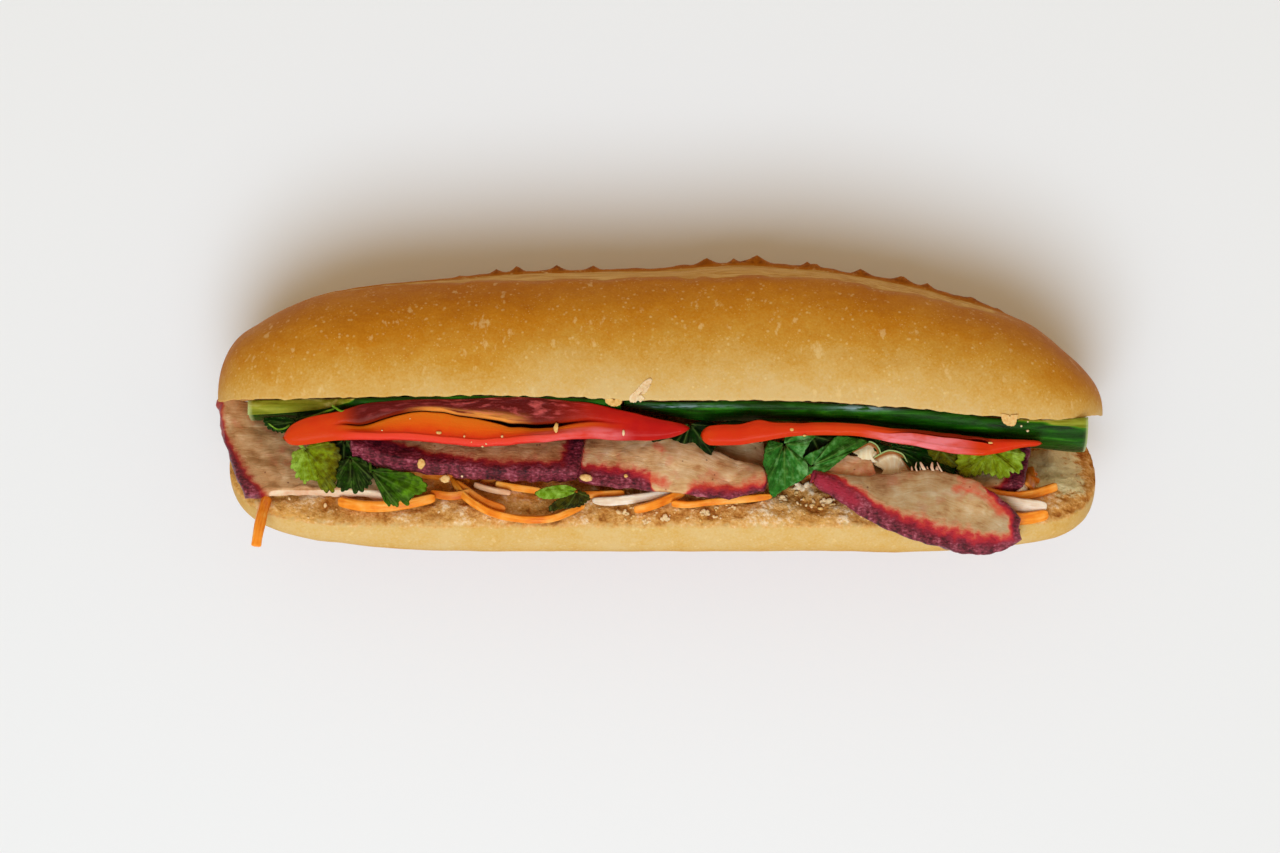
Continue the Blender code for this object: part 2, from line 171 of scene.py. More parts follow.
def chance(i, j, k, seed):
    """Random number from 0 to 1 that belongs to a whole-number place."""
    mixed = (i * 374761393 + j * 668265263 + k * 1440662683 + seed * 1274126177) & 0xFFFFFFFF
    mixed = ((mixed ^ (mixed >> 13)) * 1274126177) & 0xFFFFFFFF
    return (mixed ^ (mixed >> 16)) / 0xFFFFFFFF


def noise(points, size, seed=0):
    """Smooth random value from -1 to 1 at each point, with bumps about size wide."""
    place = np.asarray(points, float) / size
    corner = np.floor(place).astype(np.int64)
    part = place - corner
    part = part * part * (3 - 2 * part)
    total = np.zeros(place.shape[:-1])
    for step in itertools.product((0, 1), repeat=3):
        weight = np.ones(place.shape[:-1])
        for axis, up in enumerate(step):
            weight = weight * (part[..., axis] if up else 1 - part[..., axis])
        i, j, k = (corner[..., axis] + step[axis] for axis in range(3))
        total += weight * chance(i, j, k, seed)
    return 2 * total - 1


def noise_along(x, size, seed=0):
    x = np.asarray(x, float)
    return noise(np.stack([x, np.zeros_like(x), np.zeros_like(x)], -1), size, seed)


# ---------------------------------------------------------------- shapes

class Shape:
    """Points, faces and named masks, which hold one value or vector for each point."""

    def __init__(self, points, faces, **masks):
        self.points = np.asarray(points, float).reshape(-1, 3)
        self.faces = [list(face) for face in faces]
        self.masks = {name: value if np.ndim(value) else np.full(len(self.points), float(value))
                      for name, value in masks.items()}


def join(shapes):
    points = np.concatenate([shape.points for shape in shapes])
    faces = []
    start = 0
    for shape in shapes:
        faces += [[corner + start for corner in face] for face in shape.faces]
        start += len(shape.points)
    joined = Shape(points, faces)
    for name in sorted({name for shape in shapes for name in shape.masks}):
        wide = any(np.ndim(shape.masks.get(name)) == 2 for shape in shapes)
        parts = []
        for shape in shapes:
            blank = np.zeros((len(shape.points), 3) if wide else len(shape.points))
            parts.append(shape.masks.get(name, blank))
        joined.masks[name] = np.concatenate(parts)
    return joined


def grid_quads(rows, columns, around=False):
    """Corners of the quads between rows of points; around joins each row's end to its start."""
    i, j = np.meshgrid(np.arange(rows - 1), np.arange(columns if around else columns - 1), indexing="ij")
    k = (j + 1) % columns
    quads = np.stack([i * columns + j, (i + 1) * columns + j, (i + 1) * columns + k, i * columns + k], -1)
    return quads.reshape(-1, 4)


def on_grid(value, shape):
    """A mask with a value for each point of a grid; a single number holds for all of them."""
    value = np.asarray(value, float)
    return value if value.ndim > 1 else np.full(shape, float(value))


def loft(rings, tips=None, **masks):
    """Closed body through rings of points; each end closes in a fan to a tip."""
    stations, around = rings.shape[:2]
    if tips is None:
        tips = rings[[0, -1]].mean(1)
    points = np.concatenate([rings.reshape(-1, 3), tips])
    faces = grid_quads(stations, around, around=True).tolist()
    first = stations * around
    last_ring = first - around
    for j in range(around):
        k = (j + 1) % around
        faces.append([first, j, k])
        faces.append([first + 1, last_ring + k, last_ring + j])
    shape = Shape(points, faces)
    for name, value in masks.items():
        value = on_grid(value, (stations, around))
        ends = value[[0, -1]].mean(1)
        shape.masks[name] = np.concatenate([value.reshape((-1,) + value.shape[2:]), ends])
    return shape


def grid_normals(grid):
    return unit(np.cross(np.gradient(grid, axis=0), np.gradient(grid, axis=1)))


def closed_sheet(middle, half, rough=0.0, seed=0, **masks):
    """Closed body around a grid of points, half thick on each side; both faces share the border."""
    rows, columns = middle.shape[:2]
    normal = grid_normals(middle)
    inner = np.zeros((rows, columns), bool)
    inner[1:-1, 1:-1] = True
    bumps = rough * noise(middle, 2.2, seed) * np.minimum(half, 1.0)
    top = middle + normal * np.where(inner, half + bumps, 0.0)[..., None]
    bottom = middle - normal * np.where(inner, half, 0.0)[..., None]
    bottom_index = np.arange(rows * columns).reshape(rows, columns)
    bottom_index[inner] = rows * columns + np.arange(inner.sum())
    quads = grid_quads(rows, columns)
    faces = quads.tolist() + bottom_index.reshape(-1)[quads[:, ::-1]].tolist()
    shape = Shape(np.concatenate([top.reshape(-1, 3), bottom[inner]]), faces)
    for name, value in masks.items():
        value = on_grid(value, (rows, columns))
        shape.masks[name] = np.concatenate([value.reshape((-1,) + value.shape[2:]), value[inner]])
    return shape


def rim_spacing(length, radius, step):
    """Places from 0 to 1 across length, closer together near both ends for a rounded rim."""
    near = radius * np.array([0, 0.03, 0.12, 0.28, 0.52, 0.8]) / length
    count = max(int((length - 2 * radius) / step), 2)
    middle = np.linspace(radius / length, 1 - radius / length, count + 1)
    return np.concatenate([near, middle, 1 - near[::-1]])


def sear(shape, *spots):
    """Raises the red tinge near lines in x and y; each spot is a line, its reach and its strength."""
    flat = shape.points[:, :2]
    tinge = shape.masks["tinge"]
    for line, reach, strength in spots:
        path = smooth_path(line, np.linspace(0, 1, 60))
        away = np.linalg.norm(flat[:, None] - path[None], axis=-1).min(1)
        away = away + 0.35 * reach * noise(shape.points, 1.8, 8)
        tinge = np.maximum(tinge, strength * np.exp(-np.maximum(away / reach, 0) ** 2))
    shape.masks["tinge"] = tinge


BARK_FADE = 4.2      # over how much depth a slice's seared rim fades into its face
BACK_FADE = 4.0      # and how far the mask of its back edge reaches in


def slice_shape(lines, thickness, bulge=0.0, step=0.6, corner=0.3, ragged=0.35, seed=0, bark=None, brown=0.0,
                waves=0.0, torn=0.0):
    """Soft slice through curves that run from its back edge to its front edge.

    bark gives, for an edge, how deep the seared rim reaches in from it, as (place along the edge, depth)
    pairs. waves bend the face, ragged roughens the outline and torn frays the back edge.
    """
    back_line, front_line = (smooth_path(lines[end], np.linspace(0, 1, 60)) for end in (0, -1))
    length = line_length(front_line)
    width = np.linalg.norm(front_line - back_line, axis=1).mean()
    radius = min(0.4 * thickness, 0.3 * width, 0.3 * length)
    u, v = np.meshgrid(rim_spacing(length, radius, step), rim_spacing(width, radius, step), indexing="ij")
    s = 2 * u - 1
    t = 2 * v - 1
    u_round = 0.5 + 0.5 * s * np.sqrt(1 - corner * t * t / 2)
    v_round = 0.5 + 0.5 * t * np.sqrt(1 - corner * s * s / 2)
    curves = np.stack([smooth_path(line, u_round) for line in lines])
    across = curves[-1] - curves[0]
    middle = between_lines(curves, v_round)
    lift = unit(np.stack([np.zeros_like(u), -across[..., 2], across[..., 1]], -1))
    middle += lift * (-bulge * 4 * v_round * (1 - v_round))[..., None]
    wave = waves * noise(middle, 7.0, seed + 5) + 0.3 * waves * noise(middle, 2.4, seed + 6)
    middle += lift * wave[..., None]
    frayed = noise(middle, 3.4, seed + 7) + 0.7 * noise(middle * np.array([1, 0.2, 0.2]), 0.9, seed + 8)
    middle += unit(across) * (torn * frayed * (1 - v_round) ** 6)[..., None]
    for axis in range(3):
        coarse = noise(middle, 3.2, seed + axis)
        middle[..., axis] += ragged * coarse + 0.4 * ragged * noise(middle, 1.3, seed + 9 + axis)
    edges = {"left": (u * length, v), "right": ((1 - u) * length, v),
             "back": (v * width, u), "front": ((1 - v) * width, u)}
    border = np.minimum.reduce([distance for distance, _ in edges.values()])
    roundness = 1 - (1 - np.clip(border / radius, 0, 1)) ** 3
    half = 0.5 * thickness * roundness ** (1 / 3)
    seared = np.zeros(u.shape)
    for edge, depths in (bark or {}).items():
        distance, place_on_edge = edges[edge]
        depth = curve_value(depths, place_on_edge)
        seared = np.maximum(seared, np.clip(0.5 + 0.5 * (depth - distance) / BARK_FADE, 0, 1))
    masks = {"bark": seared, "brown": brown, "fat": 0.0, "tinge": 0.0, "dim": 0.0,
             "back": np.clip(1 - edges["back"][0] / BACK_FADE, 0, 1),
             "grain": np.stack([u * length, v * width, np.zeros_like(u)], -1) * MM}
    return closed_sheet(middle, half, rough=0.3, seed=seed, **masks)


LEAF_RINGS = np.array([0.05, 0.2, 0.35, 0.5, 0.64, 0.77, 0.87, 0.95, 1.0])   # shares of the way to the border


def outline_sheet(outline, base, height, lean, teeth, folds=0.0, veins=0, seed=0, half=0.14, ripple=0.4,
                  **masks):
    """Thin sheet inside an outline seen from above, fanned out from base.

    Its border has rounded teeth of a width and a depth, and folds and veins run out to it. A mask can run
    from one value at the left to another at the right.
    """
    border = smooth_path(outline, np.linspace(0, 1, int(line_length(np.array(outline, float)) / 0.2) + 8))
    start = np.array(base, float)
    way = np.concatenate([[0], np.cumsum(np.linalg.norm(np.diff(border, axis=0), axis=1))])
    ahead = unit(np.gradient(border, axis=0))
    outward = np.stack([ahead[:, 1], -ahead[:, 0]], -1)
    outward *= np.sign(np.sum(outward * (border - start), -1, keepdims=True).sum())
    beat = way / teeth[0] + 0.35 * noise_along(way, 2.5, seed)
    ends = smoothstep(0, 1.5, way) * smoothstep(0, 1.5, way[-1] - way)
    depth = teeth[1] * (1 + 0.5 * noise_along(way, 3.3, seed + 1)) * ends
    border = border + outward * (depth * (np.abs(np.sin(np.pi * beat)) - 0.4))[:, None]
    rings = LEAF_RINGS[None]
    flat = start + (border - start)[:, None] * rings[..., None]
    reach = np.linalg.norm(border - start, axis=1)[:, None] * rings
    turn = way[:, None] / way[-1] * max(veins, 1)
    off_vein = np.abs(turn - np.floor(turn) - 0.5) * way[-1] / max(veins, 1) * rings
    vein = np.exp(-(off_vein / 0.2) ** 2) * (1 - 0.6 * rings) * smoothstep(0, 1, veins)
    side_turn = turn * 4 + 0.9 * reach
    off_side_vein = np.abs(side_turn - np.floor(side_turn) - 0.5)
    side_vein = np.exp(-(off_side_vein / 0.12) ** 2) * smoothstep(0.3, 0.6, rings)
    vein = np.maximum(vein, 0.45 * side_vein * smoothstep(0, 1, veins))
    fold = folds * np.cos(2 * np.pi * turn) * np.minimum(reach / 4, 1)
    z = height + (flat - start) @ np.array(lean, float) - 0.2 * vein - fold
    middle = np.concatenate([flat, z[..., None]], -1)
    middle[..., 2] += ripple * noise(middle, 3.0, seed) + 0.6 * ripple * noise(middle, 1.3, seed + 1)
    share = (flat[..., 0] - border[:, 0].min()) / np.ptp(border[:, 0])
    for name, value in masks.items():
        if np.ndim(value):
            masks[name] = value[0] + (value[1] - value[0]) * share
    return closed_sheet(middle, half * np.ones(vein.shape), vein=vein, grain=middle * MM, **masks)


STRIP_SIDES = 12
STRIP_UNEVEN = 0.08      # how much a shred's width changes along it


def strip_shape(path, width, thickness, facing=(0, 0, 1), stations=30, taper=20.0, **masks):
    """Shred or stem along a path: a rounded rectangle that narrows at both ends, sooner with a low taper."""
    share = 0.5 - 0.5 * np.cos(np.linspace(0, np.pi, stations))
    centre = smooth_path(path, share)
    ahead = unit(np.gradient(centre, axis=0))
    side = unit(np.cross(np.broadcast_to(np.array(facing, float), ahead.shape), ahead))
    up = np.cross(ahead, side)
    angle = np.linspace(0, 2 * np.pi, STRIP_SIDES, endpoint=False) + 0.26
    across = np.sign(np.cos(angle)) * np.abs(np.cos(angle)) ** 0.4
    above = np.sign(np.sin(angle)) * np.abs(np.sin(angle)) ** 0.4
    size = np.maximum(1 - np.abs(2 * share - 1) ** taper, 0.0) ** 0.5 * 0.94 + 0.06
    wide = size * (1 + STRIP_UNEVEN * noise(centre, 4.0, 17) + 0.5 * STRIP_UNEVEN * noise(centre, 1.5, 18))
    half_width = (0.5 * width * wide)[:, None, None]
    half_thickness = (0.5 * thickness * size)[:, None, None]
    rings = (centre[:, None] + side[:, None] * half_width * across[:, None]
             + up[:, None] * half_thickness * above[:, None])
    grain = np.zeros(rings.shape)
    grain[..., 0] = (share * line_length(centre))[:, None] + 7 * centre[0, 0]
    grain[..., 1] = 0.5 * width * across
    grain[..., 2] = 0.5 * thickness * above
    return loft(rings, grain=grain * MM, **masks)


def crumb_shape(centre, size, seed, turned_by=0.0, **masks):
    """Small uneven grain, such as a bread crumb or a chip of crust. size is its three widths."""
    around = np.linspace(0, 2 * np.pi, 8, endpoint=False)
    polar, turn = np.meshgrid(np.linspace(0.35, np.pi - 0.35, 5), around, indexing="ij")
    ball = np.stack([np.sin(polar) * np.cos(turn), np.sin(polar) * np.sin(turn), np.cos(polar)], -1)
    ball *= (1 + 0.35 * noise(ball * 2.0 + seed * 7.3, 1.0, seed))[..., None]
    x, y, z = np.moveaxis(ball * 0.5 * np.array(size), -1, 0)
    cosine, sine = math.cos(turned_by), math.sin(turned_by)
    rings = np.stack([x * cosine - y * sine, x * sine + y * cosine, z], -1) + np.array(centre, float)
    return loft(rings, **masks)


# ---------------------------------------------------------------- pieces

def build(name, shape, look):
    """Writes a shape as a mesh object, in metres."""
    mesh = bpy.data.meshes.new(name)
    mesh.from_pydata(shape.points * MM, [], shape.faces)
    for mask, values in shape.masks.items():
        kind, field = ("FLOAT_VECTOR", "vector") if values.ndim == 2 else ("FLOAT", "value")
        attribute = mesh.attributes.new(mask, kind, "POINT")
        attribute.data.foreach_set(field, values.astype(np.float32).ravel())
    bm = bmesh.new()
    bm.from_mesh(mesh)
    bmesh.ops.recalc_face_normals(bm, faces=bm.faces)
    bm.to_mesh(mesh)
    bm.free()
    mesh.materials.append(look)
    mesh.shade_smooth()
    piece = bpy.data.objects.new(name, mesh)
    bpy.context.scene.collection.objects.link(piece)
    return piece


def place(piece, slot, *nodes):
    """Lets a piece ride on the sandwich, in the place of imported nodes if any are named."""
    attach(piece, "root")
    if nodes:
        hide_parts(*nodes)


def stand_for(node, shape, look, slot):
    """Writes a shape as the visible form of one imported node."""
    place(build(node + "_detailed", shape, look), slot, node)


# ---------------------------------------------------------------- materials

def linear(colour):
    """Scene colour of an sRGB colour with channels from 0 to 255."""
    shares = np.array(colour, float) / 255
    return tuple(np.where(shares <= 0.04045, shares / 12.92, ((shares + 0.055) / 1.055) ** 2.4).tolist())


class Look:
    """A food's material, made of nodes. Sizes are in millimetres and colours in sRGB, 0 to 255."""

    def __init__(self, name, **sockets):
        self.material = bpy.data.materials.new(name)
        self.material.use_nodes = True
        self.tree = self.material.node_tree
        self.shader = self.tree.nodes["Principled BSDF"]
        for socket, value in sockets.items():
            self.shader.inputs[socket.replace("_", " ")].default_value = value
        self.place = self.tree.nodes.new("ShaderNodeTexCoord").outputs["Object"]

    def put(self, socket, value):
        if isinstance(value, bpy.types.NodeSocket):
            self.tree.links.new(value, socket)
        else:
            socket.default_value = value

    def node(self, kind, inputs, **settings):
        made = self.tree.nodes.new(kind)
        for name, value in settings.items():
            setattr(made, name, value)
        for key, value in inputs.items():
            self.put(made.inputs[key], value)
        return made

    def mask(self, name):
        return self.node("ShaderNodeAttribute", {}, attribute_name=name).outputs["Fac"]

    def grain(self):
        """Places measured along and across the food's own fibres."""
        return self.node("ShaderNodeAttribute", {}, attribute_name="grain").outputs["Vector"]

    def scaled(self, size, stretch=(1, 1, 1), vector=None):
        inputs = {"Vector": vector or self.place, "Scale": [1 / (size * MM * share) for share in stretch]}
        return self.node("ShaderNodeMapping", inputs).outputs["Vector"]

    def noise(self, size, detail=3.0, stretch=(1, 1, 1), vector=None, distortion=0.0):
        inputs = {"Vector": self.scaled(size, stretch, vector), "Scale": 1.0, "Detail": detail,
                  "Roughness": 0.55, "Distortion": distortion}
        return self.node("ShaderNodeTexNoise", inputs).outputs["Fac"]

    def dots(self, size, centre, border, strength=1.0):
        """Round dots, full up to centre and gone beyond border, both as shares of size."""
        cells = self.node("ShaderNodeTexVoronoi", {"Vector": self.scaled(size), "Scale": 1.0})
        return self.spread(cells.outputs["Distance"], centre, border, strength, 0.0)

    def ramp(self, value, *stops):
        """Colour by value; each stop is a place from 0 to 1 and a colour."""
        made = self.node("ShaderNodeValToRGB", {"Fac": value})
        elements = made.color_ramp.elements
        elements.remove(elements[1])
        elements[0].position = stops[0][0]
        elements[0].color = (*linear(stops[0][1]), 1)
        for where, colour in stops[1:]:
            elements.new(where).color = (*linear(colour), 1)
        return made.outputs["Color"]

    def spread(self, value, low, high, to_low=0.0, to_high=1.0):
        """Maps low to high onto another range, held at its ends."""
        inputs = {"Value": value, "From Min": low, "From Max": high, "To Min": to_low, "To Max": to_high}
        return self.node("ShaderNodeMapRange", inputs, clamp=True).outputs["Result"]

    def maths(self, operation, a, b):
        return self.node("ShaderNodeMath", {0: a, 1: b}, operation=operation).outputs[0]

    def add(self, a, b):
        return self.maths("ADD", a, b)

    def times(self, a, b):
        return self.maths("MULTIPLY", a, b)

    def blend(self, a, share, b, other_share):
        return self.add(self.times(a, share), self.times(b, other_share))

    def sway(self, value, amount):
        """Turns a 0 to 1 noise into one around zero, amount high and low."""
        return self.spread(value, 0.2, 0.8, -amount, amount)

    def uneven(self, mask, value, amount):
        """A mask that a noise raises and lowers by amount."""
        return self.add(self.mask(mask), self.sway(value, amount))

    def mix(self, share, a, b, blend="MIX"):
        """Colour b over colour a by share."""
        a, b = (value if isinstance(value, bpy.types.NodeSocket) else (*linear(value), 1) for value in (a, b))
        inputs = {0: share, 6: a, 7: b}
        return self.node("ShaderNodeMix", inputs, data_type="RGBA", blend_type=blend).outputs[2]

    def bump(self, height, depth, under=None):
        inputs = {"Height": height, "Distance": depth * MM}
        if under is not None:
            inputs["Normal"] = under
        return self.node("ShaderNodeBump", inputs).outputs["Normal"]

    def finish(self, colour, roughness, normal):
        for name, value in (("Base Color", colour), ("Roughness", roughness), ("Normal", normal)):
            self.put(self.shader.inputs[name], value)
        return self.material


def bread_look():
    look = Look("bread", Subsurface_Weight=0.06, Subsurface_Radius=(1.0, 0.5, 0.25), Subsurface_Scale=0.002,
                Specular_IOR_Level=0.06)
    mottle = look.noise(3.2, detail=4)
    bake = look.uneven("bake", look.noise(17), 0.16)
    bake = look.add(bake, look.sway(mottle, 0.10))
    bake = look.add(bake, look.sway(look.noise(0.7), 0.14))
    crust = look.ramp(bake, (0.0, (212, 177, 115)), (0.22, (208, 164, 88)), (0.45, (200, 144, 53)),
                      (0.70, (192, 123, 26)), (1.0, (176, 102, 8)))
    specks = look.times(look.dots(1.9, 0.14, 0.27), look.spread(look.noise(4, detail=2), 0.42, 0.62))
    crust = look.mix(look.times(specks, 0.36), crust, (236, 206, 140))
    fine_specks = look.times(look.dots(0.95, 0.12, 0.26), look.spread(look.noise(5, detail=2), 0.4, 0.65))
    crust = look.mix(look.times(fine_specks, 0.35), crust, (232, 196, 124))
    flakes = look.times(look.spread(look.noise(3.0, detail=5, stretch=(1, 2.0, 1)), 0.63, 0.70), 0.4)
    crust = look.mix(flakes, crust, (232, 200, 138))

    strands = look.noise(0.8, detail=4, stretch=(14, 1, 1), distortion=0.5)
    score_colour = look.ramp(strands, (0.34, (178, 120, 44)), (0.48, (204, 154, 72)), (0.64, (226, 186, 112)))
    score = look.uneven("score", look.noise(4, detail=5, stretch=(2.2, 1, 1)), 0.34)
    score = look.spread(score, 0.42, 0.68)
    crust = look.mix(look.times(score, 0.8), crust, score_colour)
    ear_colour = look.ramp(look.noise(1.4), (0.3, (124, 62, 4)), (0.7, (176, 100, 14)))
    crust = look.mix(look.mask("ear"), crust, ear_colour)

    # crumb colour follows the torn relief: its pits are painted darker as shade and its tops paler, over the
    # crumb's own uneven tone
    relief = look.uneven("relief", look.noise(1.0, detail=5), 0.34)
    crumb_colour = look.ramp(relief, (0.10, (168, 100, 42)), (0.34, (206, 142, 68)), (0.58, (230, 176, 106)),
                             (0.85, (255, 228, 190)))
    stain = look.spread(look.uneven("stain", look.noise(4, detail=4), 0.35), 0.35, 0.9)
    crumb_colour = look.mix(look.times(stain, 0.7), crumb_colour, (212, 122, 30))
    golden = look.spread(look.uneven("golden", look.noise(2.6), 0.3), 0.3, 0.9)
    crumb_colour = look.mix(look.times(golden, 0.6), crumb_colour, (238, 186, 100))
    crumb = look.spread(look.uneven("crumb", look.noise(2.2, detail=4), 0.34), 0.30, 0.70)
    colour = look.mix(crumb, crust, crumb_colour)
    smear = look.spread(look.uneven("smear", look.noise(2.0, detail=4), 0.6), 0.45, 0.85)
    colour = look.mix(look.times(smear, 0.8), colour, (252, 240, 190))

    normal = look.bump(look.noise(0.45), 0.06)
    normal = look.bump(mottle, 0.25, normal)
    normal = look.bump(specks, 0.05, normal)
    normal = look.bump(look.times(strands, score), 0.45, normal)
    normal = look.bump(look.times(look.noise(0.8, detail=4), crumb), 0.3, normal)
    return look.finish(colour, look.spread(crumb, 0.0, 1.0, 0.56, 0.85), normal)


def pork_look():
    look = Look("roast_pork", Subsurface_Weight=0.10, Subsurface_Radius=(1.0, 0.35, 0.2),
                Subsurface_Scale=0.002, Coat_Weight=0.12, Coat_Roughness=0.35, Specular_IOR_Level=0.3)
    fibres = look.noise(0.7, detail=5, stretch=(7, 1.0, 1), vector=look.grain(), distortion=1.2)
    patches = look.noise(4.5, detail=5)
    meat = look.blend(fibres, 0.4, patches, 0.6)
    pale = look.ramp(meat, (0.34, (184, 128, 78)), (0.46, (210, 166, 112)), (0.56, (220, 184, 136)),
                     (0.66, (232, 204, 162)))
    dark = look.ramp(meat, (0.34, (128, 70, 36)), (0.46, (166, 104, 62)), (0.56, (190, 132, 86)),
                     (0.66, (212, 164, 120)))
    face = look.mix(look.mask("brown"), pale, dark)
    face = look.mix(look.spread(look.noise(6), 0.56, 0.70, 0.0, 0.45), face, (210, 110, 84))
    face = look.mix(look.dots(4.2, 0.05, 0.09, 0.7), face, (96, 34, 28))
    face = look.mix(look.mask("dim"), face, (206, 206, 206), "MULTIPLY")

    depth = look.uneven("bark", look.noise(2.2, detail=5), 0.11)
    mottle = look.noise(0.7, detail=4, stretch=(1.6, 1, 1))
    tone = look.blend(mottle, 0.55, look.noise(3.5, stretch=(0.8, 3, 3)), 0.45)
    crust = look.ramp(tone, (0.36, (40, 12, 24)), (0.46, (94, 26, 40)), (0.54, (132, 46, 62)),
                      (0.64, (180, 98, 112)))
    bright = look.ramp(depth, (0.42, (218, 136, 98)), (0.51, (202, 70, 54)), (0.60, (178, 34, 46)),
                       (0.70, (134, 22, 46)))
    dull = look.ramp(depth, (0.46, (150, 76, 46)), (0.56, (126, 34, 26)), (0.66, (92, 18, 26)))
    ring = look.mix(look.mask("brown"), bright, dull)
    ring = look.mix(look.spread(depth, 0.66, 0.80), ring, crust)
    colour = look.mix(look.spread(depth, 0.36, 0.56), face, ring)
    red = look.mix(look.spread(depth, 0.55, 0.80), (208, 66, 44), (168, 34, 58))
    tinge = look.uneven("tinge", look.noise(1.5, detail=5), 0.28)
    colour = look.mix(look.spread(tinge, 0.22, 0.95, 0.0, 0.85), colour, red)
    fat = look.spread(look.uneven("fat", look.noise(3), 0.15), 0.45, 0.6)
    colour = look.mix(fat, colour, look.ramp(patches, (0.35, (222, 174, 138)), (0.65, (240, 218, 184))))

    normal = look.bump(fibres, 0.16)
    normal = look.bump(look.times(mottle, look.mask("bark")), 0.5, normal)
    return look.finish(colour, look.spread(patches, 0.3, 0.7, 0.34, 0.52), normal)


def pepper_look():
    look = Look("red_pepper", Subsurface_Weight=0.12, Subsurface_Radius=(1.0, 0.25, 0.1),
                Subsurface_Scale=0.003, Coat_Weight=0.08, Coat_Roughness=0.2, Specular_IOR_Level=0.14)
    grain = look.grain()
    streaks = look.noise(1.3, detail=4, stretch=(9, 1, 1), vector=grain)
    patches = look.noise(6)
    hue = look.uneven("hue", patches, 0.22)
    skin = look.ramp(hue, (0.0, (206, 60, 12)), (0.5, (204, 36, 10)), (1.0, (176, 14, 12)))
    around = look.uneven("around", look.noise(3), 0.014)
    # near-black stops from 0.53 to 0.59 paint shade into the slit between the two walls
    walls = look.ramp(around, (0.17, (200, 26, 14)), (0.23, (224, 62, 44)), (0.30, (226, 66, 36)),
                      (0.34, (220, 56, 12)), (0.38, (224, 88, 10)), (0.44, (212, 108, 16)),
                      (0.487, (150, 62, 8)), (0.53, (44, 8, 3)), (0.59, (44, 8, 4)), (0.63, (128, 36, 12)),
                      (0.71, (98, 14, 10)), (0.78, (84, 6, 10)), (0.86, (122, 8, 12)))
    stripe = look.times(look.mask("stripe"), look.spread(streaks, 0.3, 0.5))
    walls = look.mix(stripe, walls, (226, 146, 62))
    # pink streaks painted on the back wall as highlight
    glints = look.noise(0.75, detail=4, stretch=(6, 1, 1), vector=grain)
    sheen = look.times(look.mask("deep"), look.spread(glints, 0.50, 0.68, 0.0, 0.65))
    walls = look.mix(sheen, walls, (214, 92, 88))
    colour = look.mix(look.mask("opened"), skin, walls)
    # pink-white band painted on the front rim as highlight
    pale = look.times(look.mask("pale"), look.spread(look.noise(2.5, stretch=(3, 1, 1)), 0.3, 0.55))
    colour = look.mix(pale, colour, (226, 118, 122))

    normal = look.bump(look.noise(0.7, detail=2), 0.05)
    normal = look.bump(look.times(glints, look.mask("deep")), 0.9, normal)
    normal = look.bump(look.times(streaks, look.mask("opened")), 0.25, normal)
    return look.finish(colour, look.spread(patches, 0.35, 0.65, 0.3, 0.45), normal)


def cucumber_look():
    look = Look("cucumber", Subsurface_Weight=0.08, Subsurface_Radius=(0.4, 1.0, 0.3), Subsurface_Scale=0.002,
                Coat_Weight=0.04, Coat_Roughness=0.25, Specular_IOR_Level=0.2)
    streaks = look.noise(1.5, detail=6, stretch=(12, 1, 1), distortion=0.8)
    patches = look.noise(5, detail=4, stretch=(2.5, 1, 1))
    rind = look.blend(streaks, 0.55, patches, 0.45)
    skin = look.ramp(rind, (0.36, (2, 24, 1)), (0.46, (9, 54, 3)), (0.55, (20, 80, 5)), (0.66, (52, 122, 18)))
    flesh = look.ramp(look.noise(1.6, detail=4, stretch=(9, 1, 1)), (0.35, (112, 118, 16)),
                      (0.55, (150, 152, 44)), (0.72, (204, 204, 116)))
    edge = look.mask("flesh")
    colour = look.mix(look.spread(edge, 0.12, 0.40), skin, (62, 122, 6))
    colour = look.mix(look.spread(edge, 0.45, 0.75), colour, flesh)
    colour = look.mix(look.mask("end"), colour, (196, 206, 140))
    # bluish white streaks painted on the skin as highlight
    wet = look.times(look.mask("wet"), look.spread(look.noise(0.8, detail=4, stretch=(5, 1, 1)), 0.42, 0.58))
    colour = look.mix(wet, colour, (158, 184, 190))

    normal = look.bump(streaks, 0.35)
    normal = look.bump(look.noise(1.1, detail=4), 0.25, normal)
    return look.finish(colour, look.spread(patches, 0.35, 0.65, 0.32, 0.55), normal)


def leaf_look():
    look = Look("coriander_leaf", Subsurface_Weight=0.04, Subsurface_Radius=(0.3, 1.0, 0.2),
                Subsurface_Scale=0.001, Specular_IOR_Level=0.15)
    patches = look.noise(1.8, detail=5)
    # tint runs from near black green, painted shade on leaves that lie low under others, to bright yellow green
    tint = look.uneven("tint", patches, 0.34)
    green = look.ramp(tint, (0.0, (2, 20, 2)), (0.25, (6, 48, 2)), (0.5, (30, 88, 2)), (0.75, (66, 128, 10)),
                      (1.0, (124, 172, 66)))
    olive = look.ramp(tint, (0.0, (24, 18, 0)), (0.25, (62, 54, 0)), (0.5, (100, 94, 0)),
                      (0.75, (128, 140, 6)), (1.0, (158, 182, 64)))
    # paler bluish greens painted on some leaves as sheen
    frosted = look.ramp(tint, (0.1, (4, 48, 4)), (0.5, (44, 114, 34)), (0.8, (122, 182, 112)))
    vein = look.mask("vein")
    colour = look.mix(look.mask("olive"), green, olive)
    colour = look.mix(look.mask("frost"), colour, frosted)
    colour = look.mix(look.times(vein, 0.35), colour, (150, 184, 84))

    normal = look.bump(vein, 0.3)
    normal = look.bump(look.noise(1.1, detail=4), 0.35, normal)
    return look.finish(colour, look.spread(patches, 0.3, 0.7, 0.42, 0.6), normal)


